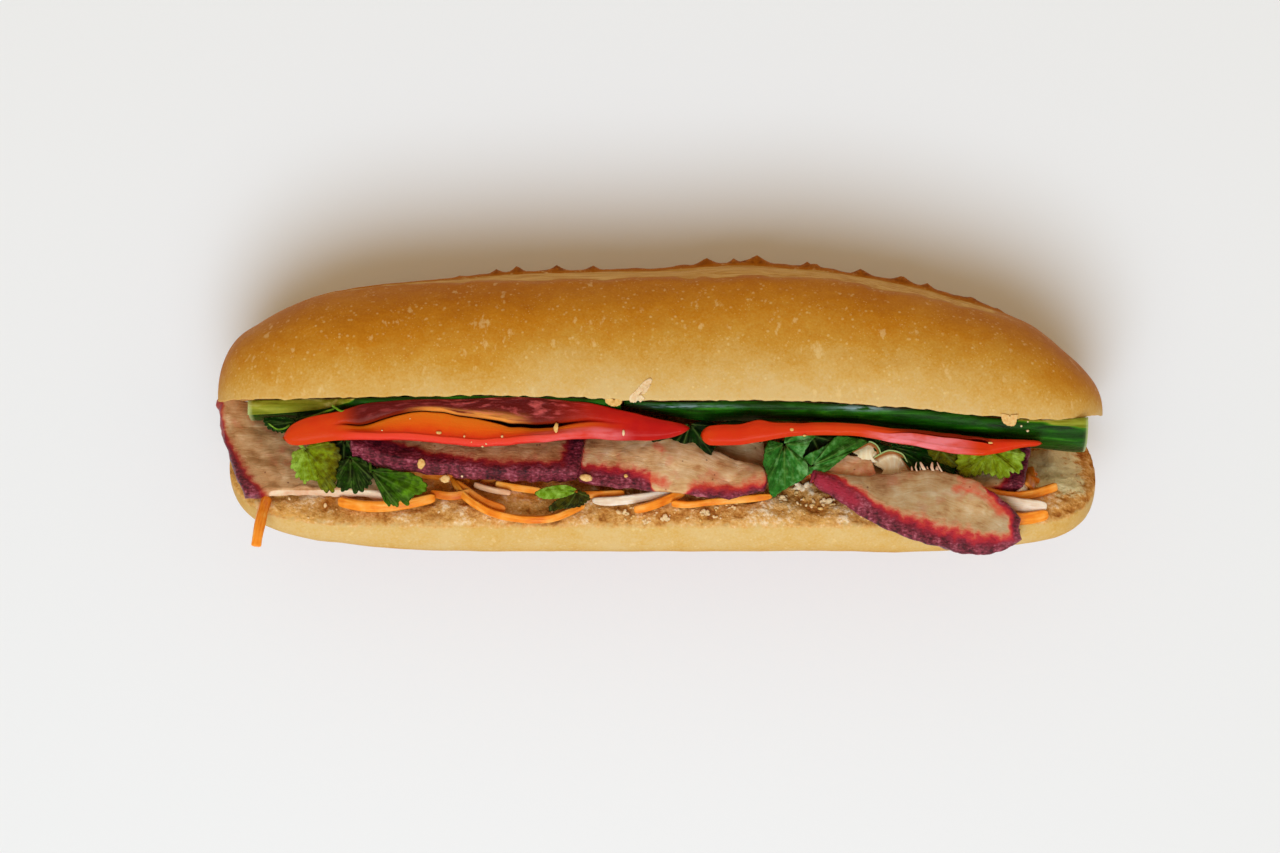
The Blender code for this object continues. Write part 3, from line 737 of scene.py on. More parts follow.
def shred_look():
    look = Look("pickled_shreds", Subsurface_Weight=0.12, Subsurface_Radius=(1.0, 0.5, 0.2),
                Subsurface_Scale=0.002, Coat_Weight=0.15, Coat_Roughness=0.3, Specular_IOR_Level=0.3)
    streaks = look.noise(0.8, stretch=(8, 1, 1), vector=look.grain())
    patches = look.noise(5)
    tone = look.blend(streaks, 0.45, patches, 0.55)
    carrot = look.ramp(tone, (0.36, (222, 110, 12)), (0.5, (244, 144, 36)), (0.66, (250, 180, 88)))
    radish = look.ramp(tone, (0.36, (212, 172, 138)), (0.5, (228, 202, 172)), (0.66, (246, 232, 212)))
    colour = look.mix(look.mask("radish"), carrot, radish)
    colour = look.mix(look.mask("shade"), colour, (176, 104, 44), "MULTIPLY")
    return look.finish(colour, look.spread(patches, 0.3, 0.7, 0.3, 0.45), look.bump(streaks, 0.25))


def onion_look():
    look = Look("onion", Subsurface_Weight=0.2, Subsurface_Radius=(1.0, 0.9, 0.7), Subsurface_Scale=0.002,
                Coat_Weight=0.12, Coat_Roughness=0.3)
    streaks = look.noise(1.0, stretch=(1, 7, 1), vector=look.grain())
    colour = look.ramp(streaks, (0.35, (236, 206, 150)), (0.65, (250, 238, 200)))
    # brown painted near the back edge as shade in the hollow behind the rim
    browned = look.spread(look.uneven("back", look.noise(2), 0.1), 0.28, 0.75)
    colour = look.mix(browned, colour, (150, 84, 28))
    colour = look.mix(look.mask("green"), colour, (160, 184, 110))
    return look.finish(colour, look.spread(streaks, 0.3, 0.7, 0.35, 0.5), look.bump(streaks, 0.12))


def bits_look():
    look = Look("crumbs", Subsurface_Weight=0.1, Subsurface_Scale=0.001, Specular_IOR_Level=0.2)
    spots = look.noise(0.9)
    crumb = look.ramp(spots, (0.3, (206, 150, 72)), (0.7, (236, 194, 122)))
    white = look.ramp(spots, (0.3, (222, 182, 134)), (0.7, (244, 222, 186)))
    colour = look.mix(look.mask("white"), crumb, white)
    return look.finish(colour, look.spread(spots, 0.3, 0.7, 0.5, 0.75), look.bump(spots, 0.2))


# ---------------------------------------------------------------- the roll

def end_rounding(x):
    return (1 - np.clip(np.abs(x) / HALF_LENGTH, 0, 1) ** END_SQUARENESS) ** (1 / END_ROUNDNESS)


def heel_rounding(x):
    """Share of the full width at x along the heel, whose left end is rounder than its right."""
    left = (1 - np.clip(-x / HEEL_LEFT, 0, 1) ** HEEL_LEFT_SQUARENESS) ** (1 / HEEL_LEFT_ROUNDNESS)
    right = (1 - np.clip(x / HEEL_RIGHT, 0, 1) ** END_SQUARENESS) ** (1 / END_ROUNDNESS)
    return np.where(x < 0, left, right)


def cut_y(x):
    return curve_value(CUT_LINE, x)


def hinge_and_tilt(x):
    """Where the heel's cut starts at x, and how far it leans back from upright."""
    hinge = cut_y(x) - HINGE_OVERLAP
    return hinge, np.arcsin((hinge - RIM_Y) / (2 * HALF_WIDTH - HINGE_Z))


def in_wedge(x, along, above):
    """Points inside the opening: along the heel's cut from the hinge, and above that cut."""
    hinge, tilt = hinge_and_tilt(x)
    y = hinge - along * np.sin(tilt) + above * np.cos(tilt)
    z = HINGE_Z + along * np.cos(tilt) + above * np.sin(tilt)
    return np.stack(np.broadcast_arrays(x, y, z), -1)


def crown_height(x):
    return curve_value(CROWN_OUTLINE, x) * end_rounding(x)


def heel_thickness(x):
    return (HEEL_THICKNESS - HEEL_THINNING * smoothstep(60, 110, np.abs(x))) * heel_rounding(x) ** 0.8


def crumb_swell(x, from_rim):
    """How far the torn crumb stands above the heel's straight cut, by its distance from the rim."""
    amount = CRUMB_SWELL - 2.2 * (1 - smoothstep(-96, -74, x)) - 0.8 * smoothstep(80, 98, x)
    near = np.minimum(from_rim, 1.2 * np.maximum(HEEL_LEFT - np.abs(x), 0))
    inward = from_rim - 14 * smoothstep(84, 100, x)
    return amount * np.clip(near / 15, 0, 1) ** 0.7 * (1 - smoothstep(17, 34, inward))


def above_crumb(x, along, above):
    """Points in the opening at a height above the torn crumb."""
    return in_wedge(x, along, crumb_swell(x, RIM_ALONG - along) + above)


def on_crumb(points, low, high):
    """The points, set between low and high above the crumb."""
    points = np.array(points, float)
    x, y = points[..., 0], points[..., 1]
    hinge, tilt = hinge_and_tilt(x)
    along = (hinge - y) / np.sin(tilt)
    for step in range(4):
        along = (hinge - y + crumb_swell(x, RIM_ALONG - along) * np.cos(tilt)) / np.sin(tilt)
    surface = above_crumb(x, along, 0.0)[..., 2]
    points[..., 2] = surface + np.clip(points[..., 2] - surface, low, high)
    return points


def roll_stations():
    """x of the sections, evenly spaced along the roll's outline, tips left out."""
    left = np.cos(np.linspace(0, 0.5 * np.pi, 8001))
    x = HALF_LENGTH * (1 - left ** END_ROUNDNESS) ** (1 / END_SQUARENESS)
    way = np.concatenate([[0], np.cumsum(np.hypot(np.diff(x), HALF_WIDTH * np.diff(left)))])
    half = np.interp(np.arange(0, way[-1] - 0.5 * STATION_STEP, STATION_STEP), way, x)
    return np.concatenate([-half[:0:-1], half])


def section_template(fullness, height, step_at):
    """share and rise of the points along a rounded section, spaced as step_at(share) says."""
    t = np.linspace(0, np.pi, 6001)
    share = np.sign(np.cos(t)) * np.abs(np.cos(t)) ** (2 / fullness)
    rise = np.abs(np.sin(t)) ** (2 / fullness)
    length = np.hypot(np.diff(share) * HALF_WIDTH, np.diff(rise) * height)
    middle = 0.5 * (share[1:] + share[:-1])
    count = np.concatenate([[0], np.cumsum(length / step_at(middle))])
    wanted = np.linspace(0, count[-1], int(count[-1]) + 1)
    return np.interp(wanted, count, share), np.interp(wanted, count, rise)


def ear_height(x):
    """Height of the thin lip of crust beside the slash, with its torn points."""
    reach = plateau(EAR_FROM_X, EAR_FROM_X + 14, EAR_TO_X - 10, EAR_TO_X, x)
    height = reach * (0.55 + 0.25 * noise_along(x, 6, 3) + 0.12 * noise_along(x, 1.7, 4))
    for where, tall, wide in EAR_SPIKES:
        height = height + tall * np.maximum(1 - np.abs(x - where) / wide, 0) ** 1.5
    return np.maximum(height, 0)


# Masks of the roll, and what each is where nothing else is said.
BREAD_MASKS = {"bake": 0.0, "score": 0.0, "ear": 0.0, "crumb": 0.0, "relief": 0.5, "stain": 0.0,
               "golden": 0.0, "smear": 0.0}


def loft_half(crust, crust_masks, face, face_masks, ends):
    """One half of the roll, from the crust and the cut face of each section."""
    masks = {name: np.concatenate([np.broadcast_to(given.get(name, blank), grid.shape[:2])
                                   for grid, given in ((crust, crust_masks), (face, face_masks))], 1)
             for name, blank in BREAD_MASKS.items()}
    return loft(np.concatenate([crust, face], 1), np.array(ends, float), **masks)


def crown_shape(x_stations):
    def step_at(share):
        return np.where(np.abs(share) < 0.09, FINE_STEP, np.where(share > 0.96, 0.7, CRUST_STEP))

    share, rise = section_template(CROWN_FULLNESS, CROWN_HEIGHT, step_at)
    x, share = np.meshgrid(x_stations, share, indexing="ij")
    rise = np.broadcast_to(rise, x.shape)
    z = SECTION_Z + HALF_WIDTH * end_rounding(x) * share
    base = np.stack([x, cut_y(x) + crown_height(x) * rise, z], -1)
    outward = unit(np.stack([np.zeros_like(x), rise ** 1.3 / CROWN_HEIGHT,
                             np.sign(share) * np.abs(share) ** 1.3 / HALF_WIDTH], -1))

    along = plateau(SCORE_FROM_X, SCORE_FROM_X + 30, SCORE_TO_X - 30, SCORE_TO_X, x)
    front = SCORE_SHARE + 0.05 * noise_along(x, 15, 1) + 0.03 * noise_along(x, 4, 2) \
        - 0.12 * (1 - smoothstep(-70, -20, x))
    strip = plateau(0.02, 0.07, front - 0.14, front + 0.02, share) * along
    folds = noise(base * np.array([0.08, 1, 1]), 1.6, 6)
    ear = np.maximum(1 - np.abs(share + 0.01) / EAR_SHARE, 0) ** 0.8 * ear_height(x)
    lumps = 0.5 * noise(base, 27, 11) + 0.25 * noise(base, 9, 12) + 0.09 * noise(base, 3.1, 13)
    relief = lumps * smoothstep(0, 0.3, rise) - SCORE_DEPTH * strip + 0.2 * folds * strip + ear
    relief += 0.22 * (plateau(0.0, 0.035, 0.035, 0.10, share - front) * along)
    outer = base + outward * relief[..., None]
    ragged = 0.2 + 0.28 * noise_along(x, 1.5, 21) + 0.22 * noise_along(x, 4.5, 22)
    outer[..., 1] -= ragged * np.exp(-rise / 0.03) * (share > 0)

    bake = np.where(share > 0, 1.0 * rise, 0.35 + 0.55 * rise) + 0.10 * (1 - end_rounding(x))
    bake *= 1 - 0.14 * (1 - smoothstep(-100, -60, x)) - 0.06 * smoothstep(60, 100, x)
    bake += 0.10 * smoothstep(70, 110, x) \
        + 0.22 * (1 - smoothstep(-75, -10, x)) * (1 - rise ** 3) * (share > 0)

    face_x, face_share = np.meshgrid(x_stations, np.linspace(-1, 1, 16)[1:-1], indexing="ij")
    face = np.stack([face_x, cut_y(face_x), SECTION_Z + HALF_WIDTH * end_rounding(face_x) * face_share], -1)
    face[..., 1] += 0.3 * noise(face, 3, 23)
    ends = [[end, cut_y(end), SECTION_Z] for end in (-HALF_LENGTH, HALF_LENGTH)]
    return loft_half(outer, {"bake": bake, "score": strip, "ear": np.clip(ear / 0.5, 0, 1)},
                     face, {"crumb": 1.0, "stain": 0.2}, ends)


def crumb_relief(points):
    """Torn, porous surface of the cut bread."""
    pits = smoothstep(0.15, 0.6, noise(points, 2.3, 31)) + 0.6 * smoothstep(0.2, 0.7, noise(points, 1.2, 32))
    return 0.5 * noise(points, 7, 33) + 0.4 * noise(points, 3, 35) + 0.34 * noise(points, 1.5, 34) \
        - 0.34 * pits


def heel_shape(x_stations):
    def step_at(share):
        return np.where(share > 0.93, 0.7, 1.5)

    share, rise = section_template(HEEL_FULLNESS, HEEL_THICKNESS, step_at)
    stations = x_stations * np.where(x_stations < 0, HEEL_LEFT, HEEL_RIGHT) / HALF_LENGTH
    x, share = np.meshgrid(stations, share, indexing="ij")
    rise = np.broadcast_to(rise, x.shape)
    along = WEDGE_CENTRE + HALF_WIDTH * heel_rounding(x) * share
    thickness = heel_thickness(x)
    base = in_wedge(x, along, -thickness * rise)
    lumps = 0.45 * noise(base, 24, 41) + 0.2 * noise(base, 8, 42) + 0.08 * noise(base, 3, 43)
    outer = in_wedge(x, along, -(thickness * rise + lumps * smoothstep(0, 0.3, rise)))
    bake = 0.10 + 0.50 * smoothstep(0.35, 1.0, rise) + 0.25 * (share < 0) * (1 - rise) \
        + 0.2 * (1 - heel_rounding(x))
    crust_masks = {"bake": bake, "crumb": 0.5 * np.exp(-rise / 0.05) * (share > 0)}

    fine = np.arange(1.0, 1.0 - 29 / HALF_WIDTH, -0.62 / HALF_WIDTH)[1:]
    coarse = np.linspace(fine[-1], -1, 14)[1:-1]
    face_share = np.concatenate([coarse[::-1], fine[::-1]])
    x, share = np.meshgrid(stations, face_share, indexing="ij")
    along = WEDGE_CENTRE + HALF_WIDTH * heel_rounding(x) * share
    from_rim = HALF_WIDTH * heel_rounding(x) * (1 - share)
    torn = crumb_relief(in_wedge(x, along, 0.0))
    inside = smoothstep(0, 0.08, 1 - np.abs(share))
    face = in_wedge(x, along, (0.35 + torn) * inside + crumb_swell(x, from_rim))
    by_hinge = 0.35 * (1 - smoothstep(36, 58, along))
    under_filling = 0.75 * smoothstep(-104, -90, x) * (1 - smoothstep(-36, -10, x)) \
        * (1 - smoothstep(50, 60, along))
    smear = plateau(98, 107, 116, 123, x) * smoothstep(14, 24, along) * (1 - smoothstep(44, 52, along))
    # relief carries the torn height of the crumb, so its pits get painted shade in the look
    face_masks = {"crumb": 0.5 + 0.5 * smoothstep(0.0, 0.07, 1 - share),
                  "relief": np.clip(0.5 + 0.45 * torn, 0, 1), "stain": by_hinge + under_filling,
                  "golden": smoothstep(84, 112, -x) * 0.9 + 0.5 * smoothstep(52, 61, along), "smear": smear}
    ends = [in_wedge(np.array(end), WEDGE_CENTRE, 0.0) for end in (-HEEL_LEFT, HEEL_RIGHT)]
    return loft_half(outer, crust_masks, face, face_masks, ends)


def make_bread(look):
    """Crown and heel, joined along the spine and flat where they rest."""
    stations = roll_stations()
    crown = build("bread_roll_detailed", crown_shape(stations), look)
    heel = build("heel_guide", heel_shape(stations), look)
    union = crown.modifiers.new("spine", "BOOLEAN")
    union.operation = "UNION"
    union.solver = "MANIFOLD"
    union.object = heel
    evaluated = crown.evaluated_get(bpy.context.evaluated_depsgraph_get())
    mesh = bpy.data.meshes.new_from_object(evaluated)
    crown.modifiers.clear()
    crown.data = mesh
    bpy.data.objects.remove(heel)
    points = np.zeros(len(mesh.vertices) * 3, np.float32)
    mesh.vertices.foreach_get("co", points)
    points[2::3] = np.maximum(points[2::3], 0.0)
    mesh.vertices.foreach_set("co", points)
    mesh.update()
    place(crown, "crust", "bread_roll")


# ---------------------------------------------------------------- peppers

# The lines are given as (x, y) pairs; the right pepper's half width as (x, half width).
PEPPER_BASE, PEPPER_TOP = (corner[2] for corner in box_mm("pepper_left"))
LEFT_PEPPER_FRONT = (
    (-104, -10.4), (-102.5, -10.9), (-99.2, -11.2), (-88, -10.1), (-72, -9.8), (-61, -10.6), (-50, -11.6),
    (-36, -10.6), (-19, -9.7), (-6, -9.8), (1.2, -9.3), (8, -7.2),
)
LEFT_PEPPER_BACK = (
    (-104, -7.6), (-101.4, -5.6), (-97.8, -4), (-93.7, -2.9), (-88, -1.6), (-82.7, 0.2), (-77, 1),
    (-58, 1.4), (-36, 1.7), (-27.7, 0.9), (-19, 0.1), (-6, -2.7), (8, -5.6),
)
LEFT_PEPPER_GAP = (
    (-104, -8.6), (-92, -6.6), (-84.2, -6), (-80, -5.1), (-75.9, -3.8), (-71.8, -2.8), (-66.3, -2),
    (-60.8, -2.2), (-55.3, -3.2), (-49.8, -4), (-44.2, -5.1), (-40.9, -5.8), (-30.5, -6), (-10, -5.8),
    (8, -6.4),
)
RIGHT_PEPPER_MIDDLE = (
    (11, -8.4), (14, -8.4), (21.8, -8.4), (26.5, -7.4), (31.4, -7.3), (38.3, -6.8), (46.5, -6.7),
    (54.8, -7.4), (63, -8.4), (71.3, -9.3), (79.5, -10.6), (87.8, -11.8), (93.3, -11.7), (98.8, -11.1),
    (105, -11),
)
RIGHT_PEPPER_HALF = (
    (11, 2), (14, 2.7), (21.8, 3), (26.5, 3.2), (31.4, 2.36), (38.3, 1.8), (46.5, 1.75), (54.8, 1.7),
    (63, 1.9), (71.3, 2.3), (79.5, 2.7), (87.8, 2.6), (93.3, 1.85), (98.8, 1.17), (105, 0.7),
)
RIGHT_PEPPER_GAP = ((62, -6.4), (68, -7.6), (74, -8.3), (82, -9.4), (88, -10.3), (91, -10.6))
TIP_LENGTH = 2.6
RIM_WIDTH = 1.9          # thickness of the flesh at the slit
SECTION_STEPS = 5        # points between two key points of a section
SECTION_SLACK = 0.35


def end_dense(start, stop, count):
    """Places from start to stop, closer together near both ends."""
    share = np.linspace(0, 1, count)
    return start + (stop - start) * (0.35 * share + 0.65 * (0.5 - 0.5 * np.cos(np.pi * share)))


def pepper_shape(x, front, back, gap, parted, slope, drop, slit, deep_cut, pale_to=7.4, **columns):
    """Two walls of pepper with a gap between them; where parted is 0 they are one rounded flesh.

    slope is how far the front wall falls to the gap, drop how much lower the back wall stands. slit is the
    gap's half width and deep_cut its extra depth. pale_to is the place in a section where its band of painted
    pink highlight ends.
    """
    from_tip = np.minimum(x - x[0], x[-1] - x)
    tip = np.sqrt(1 - (1 - np.clip(from_tip / TIP_LENGTH, 0, 1)) ** 2)
    middle = 0.5 * (front + back)
    front = middle + (front - middle) * tip
    back = middle + (back - middle) * tip
    width = back - front
    gap = np.clip(gap, front + 0.3 * width, back - 0.12 * width)
    rim = np.minimum(RIM_WIDTH, 0.3 * width)
    top = PEPPER_TOP - 2.4 * (1 - tip)
    bottom = PEPPER_BASE + 3.0 * (1 - tip)
    lip = np.minimum(0.5, 0.08 * width)
    slit = np.minimum(slit, 0.10 * width)
    inner = 0.5 * (front + rim + gap)
    beyond = gap + 0.4 * (back - gap)
    rise = [(front + 0.30 * width, bottom), (front + 0.10 * width, bottom + 2.4),
            (front + 0.02 * width, bottom + 5.2)]
    fall = [(back - 0.04 * width, bottom + 3.6), (back - 0.18 * width, bottom)]
    walls = [(front, top - 1.0), (front + lip, top - 0.2), (front + rim, top),
             (front + rim + lip, top - 0.12 - 0.25 * slope), (inner, top - 0.15 - 0.7 * slope),
             (gap - slit - 0.5 * lip, top - 0.2 - slope), (gap - slit, top - 0.3 - 1.2 * slope),
             (gap, top - 0.4 - 1.3 * slope - drop - deep_cut), (gap + slit, top - 0.4 - slope - drop),
             (gap + slit + lip, top - 0.25 - 0.5 * slope - drop), (beyond, top - 0.1 - 0.3 * slope - drop),
             (back - lip * 1.5, top - 0.35 - 0.2 * slope - drop), (back, top - 1.3 - drop)]
    shares = (0.0, 0.06, 0.16, 0.27, 0.38, 0.48, 0.54, 0.58, 0.63, 0.71, 0.80, 0.90, 1.0)
    dome = [(front + width * share, top - 1.3 * abs(2 * share - 1) ** 3) for share in shares]
    open_keys, closed_keys = (np.stack([np.stack([x, y, z], -1) for y, z in rise + part + fall], 1)
                              for part in (walls, dome))
    keys = closed_keys + (open_keys - closed_keys) * parted[:, None, None]
    count = keys.shape[1]
    place_on = np.arange(count * SECTION_STEPS) / SECTION_STEPS
    here = place_on.astype(int)
    t = (place_on - here)[None, :, None]
    a, b, c, d = (keys[:, (here + near) % count] for near in (-1, 0, 1, 2))
    rings = b + SECTION_SLACK * (c - a) * t \
        + (3 * (c - b) - SECTION_SLACK * (2 * (c - a) + (d - b))) * t ** 2 \
        + (2 * (b - c) + SECTION_SLACK * ((c - a) + (d - b))) * t ** 3
    bumps = 0.16 * noise(rings, 3.5, 51) + 0.3 * noise(rings, 11, 52)
    rings = rings + bumps[..., None] * np.array([0, 1, 0.6])
    mark = np.broadcast_to(place_on[None], rings.shape[:2])
    grain = np.stack([rings[..., 0], mark * 1.5, np.zeros_like(mark)], -1) * MM
    # stripe marks the cut edge behind the slit, deep the back wall that gets painted highlight streaks, and
    # pale the front rim that gets a painted pink highlight
    bands = {"stripe": plateau(10.7, 11.3, 12.3, 13.3, mark), "deep": plateau(12.0, 13.2, 15.0, 16.0, mark),
             "pale": plateau(3.0, 3.6, pale_to - 1.4, pale_to, mark)}
    wide = {name: value[:, None] * bands.get(name, 1.0) + 0 * mark for name, value in columns.items()}
    return loft(rings, grain=grain, around=mark / count, **wide)


def make_peppers(look):
    x = end_dense(-104, 8, 190)
    front, back, gap = (curve_value(line, x) for line in
                        (LEFT_PEPPER_FRONT, LEFT_PEPPER_BACK, LEFT_PEPPER_GAP))
    opened = plateau(-91, -82, -34, -8, x)
    wide_gap = plateau(-52, -42, -30, -22, x)
    deep = (0.35 + 0.65 * smoothstep(-66, -50, x)) * smoothstep(-88, -80, x) * (1 - smoothstep(-26, -16, x))
    # pale: where the front rim gets its painted pink highlight
    pale = 0.5 * smoothstep(-40, -28, x) * (1 - smoothstep(-14, -6, x))
    left = pepper_shape(x, front, back, gap, opened, 2.0, 0.0, slit=0.13 + 0.36 * wide_gap,
                        deep_cut=0.8 + 3.6 * wide_gap, opened=opened, hue=0.10 + 0.9 * smoothstep(-50, 0, x),
                        stripe=plateau(-72, -62, -44, -34, x), deep=deep, pale=pale)
    stand_for("pepper_left", left, look, "pepper")

    x = end_dense(11, 105, 170)
    middle, half, gap = (curve_value(line, x) for line in
                         (RIGHT_PEPPER_MIDDLE, RIGHT_PEPPER_HALF, RIGHT_PEPPER_GAP))
    opened = plateau(60, 70, 89, 92, x)
    notch = plateau(84, 87, 89.5, 91, x)
    # pale: where the front wall gets its painted pink highlight
    right = pepper_shape(x, middle - half, middle + half, gap, opened, 0.25, 0.9, slit=0.1 + 0.3 * notch,
                         deep_cut=3.0 * notch, pale_to=9.6, opened=0.75 * opened,
                         hue=0.15 + 0.15 * np.sin(x / 13), stripe=0 * x, deep=0 * x,
                         pale=plateau(54, 64, 78, 88, x))
    right.masks["opened"] *= plateau(0.58, 0.62, 0.93, 0.97, right.masks["around"])
    stand_for("pepper_right", right, look, "pepper")


# ---------------------------------------------------------------- cucumbers

CUCUMBER_DEPTH = 5.4
CUCUMBER_OVERLAP = 0.4       # how far the flesh sits in front of the crown's cut
# Streaks of painted bluish white highlight on the right slice's skin: middle, reach and strength.
WET_STREAKS = (((57, -0.9), (7, 0.7), 0.9), ((7, -0.6), (12, 0.35), 0.55), ((98, -2.2), (6, 0.5), 0.35))


def cucumber_shape(x, back_z, depth, facet, skin_facet, tall):
    """Long slice off a cucumber's side: flat flesh against the crown, skin below, and a cut top.

    facet is how wide its pale cut top is; skin_facet is the same for a top that is still skin.
    """
    angle = np.linspace(0, np.pi, 40)[:-1]
    across = np.concatenate([0.5 - 0.5 * np.cos(angle), [0.99]])
    below = np.concatenate([np.sin(angle) ** 0.8, [0.0]])
    x_grid, across = np.meshgrid(x, across, indexing="ij")
    below = depth[:, None] * np.broadcast_to(below, x_grid.shape)
    cut = np.minimum(np.maximum(facet, skin_facet), 0.85 * depth)[:, None]
    cut_here = cut * smoothstep(0.80, 0.95, across)
    flesh_top = smoothstep(-0.35, 0.35, cut_here - below) * smoothstep(0.75, 0.85, across)
    below = np.where(across > 0.75, np.maximum(below, cut_here), below)
    below[:, -1] = 0.0
    rings = np.stack([x_grid, cut_y(x_grid) - CUCUMBER_OVERLAP - below, back_z + tall * across], -1)
    rings[..., 1] += 0.22 * noise(rings, 9, 61) + 0.10 * noise(rings * np.array([0.25, 1, 1]), 1.7, 62)
    flat_x, flat_across = np.meshgrid(x, np.linspace(1, 0, 6)[1:-1], indexing="ij")
    flat = np.stack([flat_x, cut_y(flat_x) - CUCUMBER_OVERLAP, back_z + tall * flat_across], -1)
    rings = np.concatenate([rings, flat], 1)
    flesh = np.ones(rings.shape[:2])
    pale = (facet > 0.02) * (facet > skin_facet)
    flesh[:, 1:across.shape[1] - 1] = flesh_top[:, 1:-1] * pale[:, None]
    flesh[:, across.shape[1] - 1] = pale
    return loft(rings, flesh=flesh, end=0.0, wet=0.0)


def make_cucumbers(look):
    low, high = box_mm("cucumber_left")
    x, share = (np.linspace(start, end, 150) for start, end in ((low[0], high[0]), (0, 1)))
    depth = CUCUMBER_DEPTH * (0.3 + 0.7 * smoothstep(-0.02, 0.001, share)) + 0 * x
    facet = curve_value(((-114.5, 4.0), (-97, 3.1), (-88, 1.4), (-82, 0.05), (-60, 0.0)), x)
    tall = high[2] - low[2] + 7.6 * smoothstep(-96, -82, x[:, None])
    left = cucumber_shape(x, low[2], depth, facet, 1.5 * smoothstep(-86, -80, x), tall)
    left.masks["end"] = np.clip(1 - (left.points[:, 0] - low[0]) / 1.2, 0, 1) * 0.8
    stand_for("cucumber_left", left, look, "cucumber")

    low, high = box_mm("cucumber_right")
    x, share = (np.linspace(start, end, 170) for start, end in ((low[0], high[0]), (0, 1)))
    depth = CUCUMBER_DEPTH * (0.3 + 0.7 * smoothstep(-0.02, 0.2, share)) + 2.6 * smoothstep(0.5, 1.0, share) \
        + 1.6 * smoothstep(0.9, 1.0, share)
    facet = curve_value(((60, 0.0), (99, 0.05), (108, 1.2), (118, 2.7)), x)
    right = cucumber_shape(x, low[2], depth, facet, 0.9 * (1 - smoothstep(90, 100, x)), high[2] - low[2])
    right.masks["end"] = np.clip(1 - (high[0] - right.points[:, 0]) / 0.8, 0, 1) * 0.8
    for middle, reach, strength in WET_STREAKS:
        x_away, y_away = ((right.points[:, axis] - middle[axis]) / reach[axis] for axis in (0, 1))
        right.masks["wet"] += strength * np.exp(-np.hypot(x_away, y_away) ** 2)
    stand_for("cucumber_right", right, look, "cucumber")


# ---------------------------------------------------------------- pork

# Each slice lies between the same edge lines as its solid, with a little more outline.
PORK_SLICES = {
    "pork_far_left": dict(
        lines=(
            ((-124.6, 1.6, 44), (-110, 0.4, 36), (-94, -1, 33), (-78, -1, 31)),
            ((-121.4, -12.5, 47.5), (-106, -12.8, 46), (-92, -12.8, 45), (-78, -13.5, 44)),
            ((-115.6, -25.8, 55.2), (-101, -24.4, 54.6), (-90, -24.8, 54.4), (-74, -26.2, 55.8)),
        ),
        bark={"left": ((0, 0.4), (0.3, 0.9), (0.42, 1.8), (0.6, 3.4), (0.8, 4.4), (1, 6))},
        thickness=3.6, seed=71, corner=0.06, brown=0.55, waves=0.6),
    "pork_left": dict(
        lines=(
            ((-86, -6.5, 44), (-66, -6.6, 41), (-46, -7, 38), (-22, -7, 37)),
            ((-86, -8.6, 51.5), (-68, -9.6, 52), (-48, -9.8, 52), (-21.5, -10.5, 51)),
            ((-86.6, -12.9, 59), (-74, -16.8, 60.5), (-58, -19, 60.5), (-44, -20.2, 60.5), (-21, -20.6, 59)),
        ),
        bark={"front": ((0, 9.5), (0.28, 7.6), (0.45, 5), (1, 4.4)), "left": ((0, 8), (1, 8)),
              "right": ((0, 5), (1, 6))},
        thickness=5.2, seed=72, brown=0.7, waves=0.5),
    "pork_middle": dict(
        lines=(
            ((-23.5, -9, 49), (-8, -8, 50), (4, -9, 51), (16, -14.4, 52.5), (28.5, -18.6, 54.5)),
            ((-24, -22, 57.5), (-14, -23, 58), (-4, -23.9, 58), (6, -24.6, 58.5), (18, -26.3, 58.5),
             (30.4, -23.4, 58)),
        ),
        bark={"front": ((0, 4.6), (0.4, 4.4), (0.46, -0.5), (0.6, -0.5), (0.68, 3.6), (1, 3.6)),
              "left": ((0, 3), (1, 3.6)), "right": ((0, -2), (0.5, 0.2), (1, 3.4))},
        thickness=3.6, bulge=1.2, seed=73, brown=0.05, waves=0.6),
    "pork_middle_back": dict(
        lines=(
            ((10, -6, 42), (17, -6.6, 43), (24, -8, 44.5), (29, -10.5, 46)),
            ((10, -13.4, 47), (17, -15.2, 48.2), (24, -17.4, 50), (29, -18.6, 51.2)),
        ),
        thickness=2.6, seed=74, brown=0.35),
    "pork_right_back": dict(
        lines=(
            ((50, -8.6, 42), (68, -9, 42), (86, -10, 42), (104.4, -11.2, 43)),
            ((50, -22, 52.6), (68, -23, 53), (86, -24, 53.4), (101.2, -23.7, 53.8)),
        ),
        bark={"right": ((0, 6), (1, 8)), "front": ((0, -1), (0.7, -1), (1, 5))},
        thickness=3.6, seed=75, corner=0.15, brown=0.2, waves=0.5),
    "salmon_piece": dict(
        lines=(
            ((46, -13.6, 53.8), (52, -14.4, 54.6), (59, -15.6, 54.6)),
            ((43.6, -20.8, 58), (51, -21.2, 58.6), (60, -21, 58.2)),
        ),
        thickness=2, seed=77, ragged=0.5, brown=0, waves=0.5),
    "pork_right_front": dict(
        lines=(
            ((41, -20, 58), (47, -20.6, 58.3), (52, -20.8, 58.4), (58, -20.6, 58.5), (64, -20, 58.6),
             (74, -18.8, 58.8), (82, -20, 59), (90, -23.6, 59.8), (95, -28, 61.4), (98.6, -33, 62.6)),
            ((44, -21.8, 59), (50.5, -26.6, 60.6), (57.5, -31.8, 61.8), (66, -35.6, 62.6),
             (76, -39.2, 62.6), (87, -41.3, 61.4), (95, -39.6, 61.6), (98.8, -35.6, 62.8)),
        ),
        bark={"front": ((0, 13), (0.15, 10.5), (0.35, 5.8), (0.55, 4.4), (1, 4)), "back": ((0, -1),
              (0.7, -1), (0.82, 2.4), (1, 4.6)), "right": ((0, 5), (1, 5))},
        thickness=3.6, bulge=1.4, seed=76, corner=0.15, brown=0, waves=0.7, torn=0.5),
}

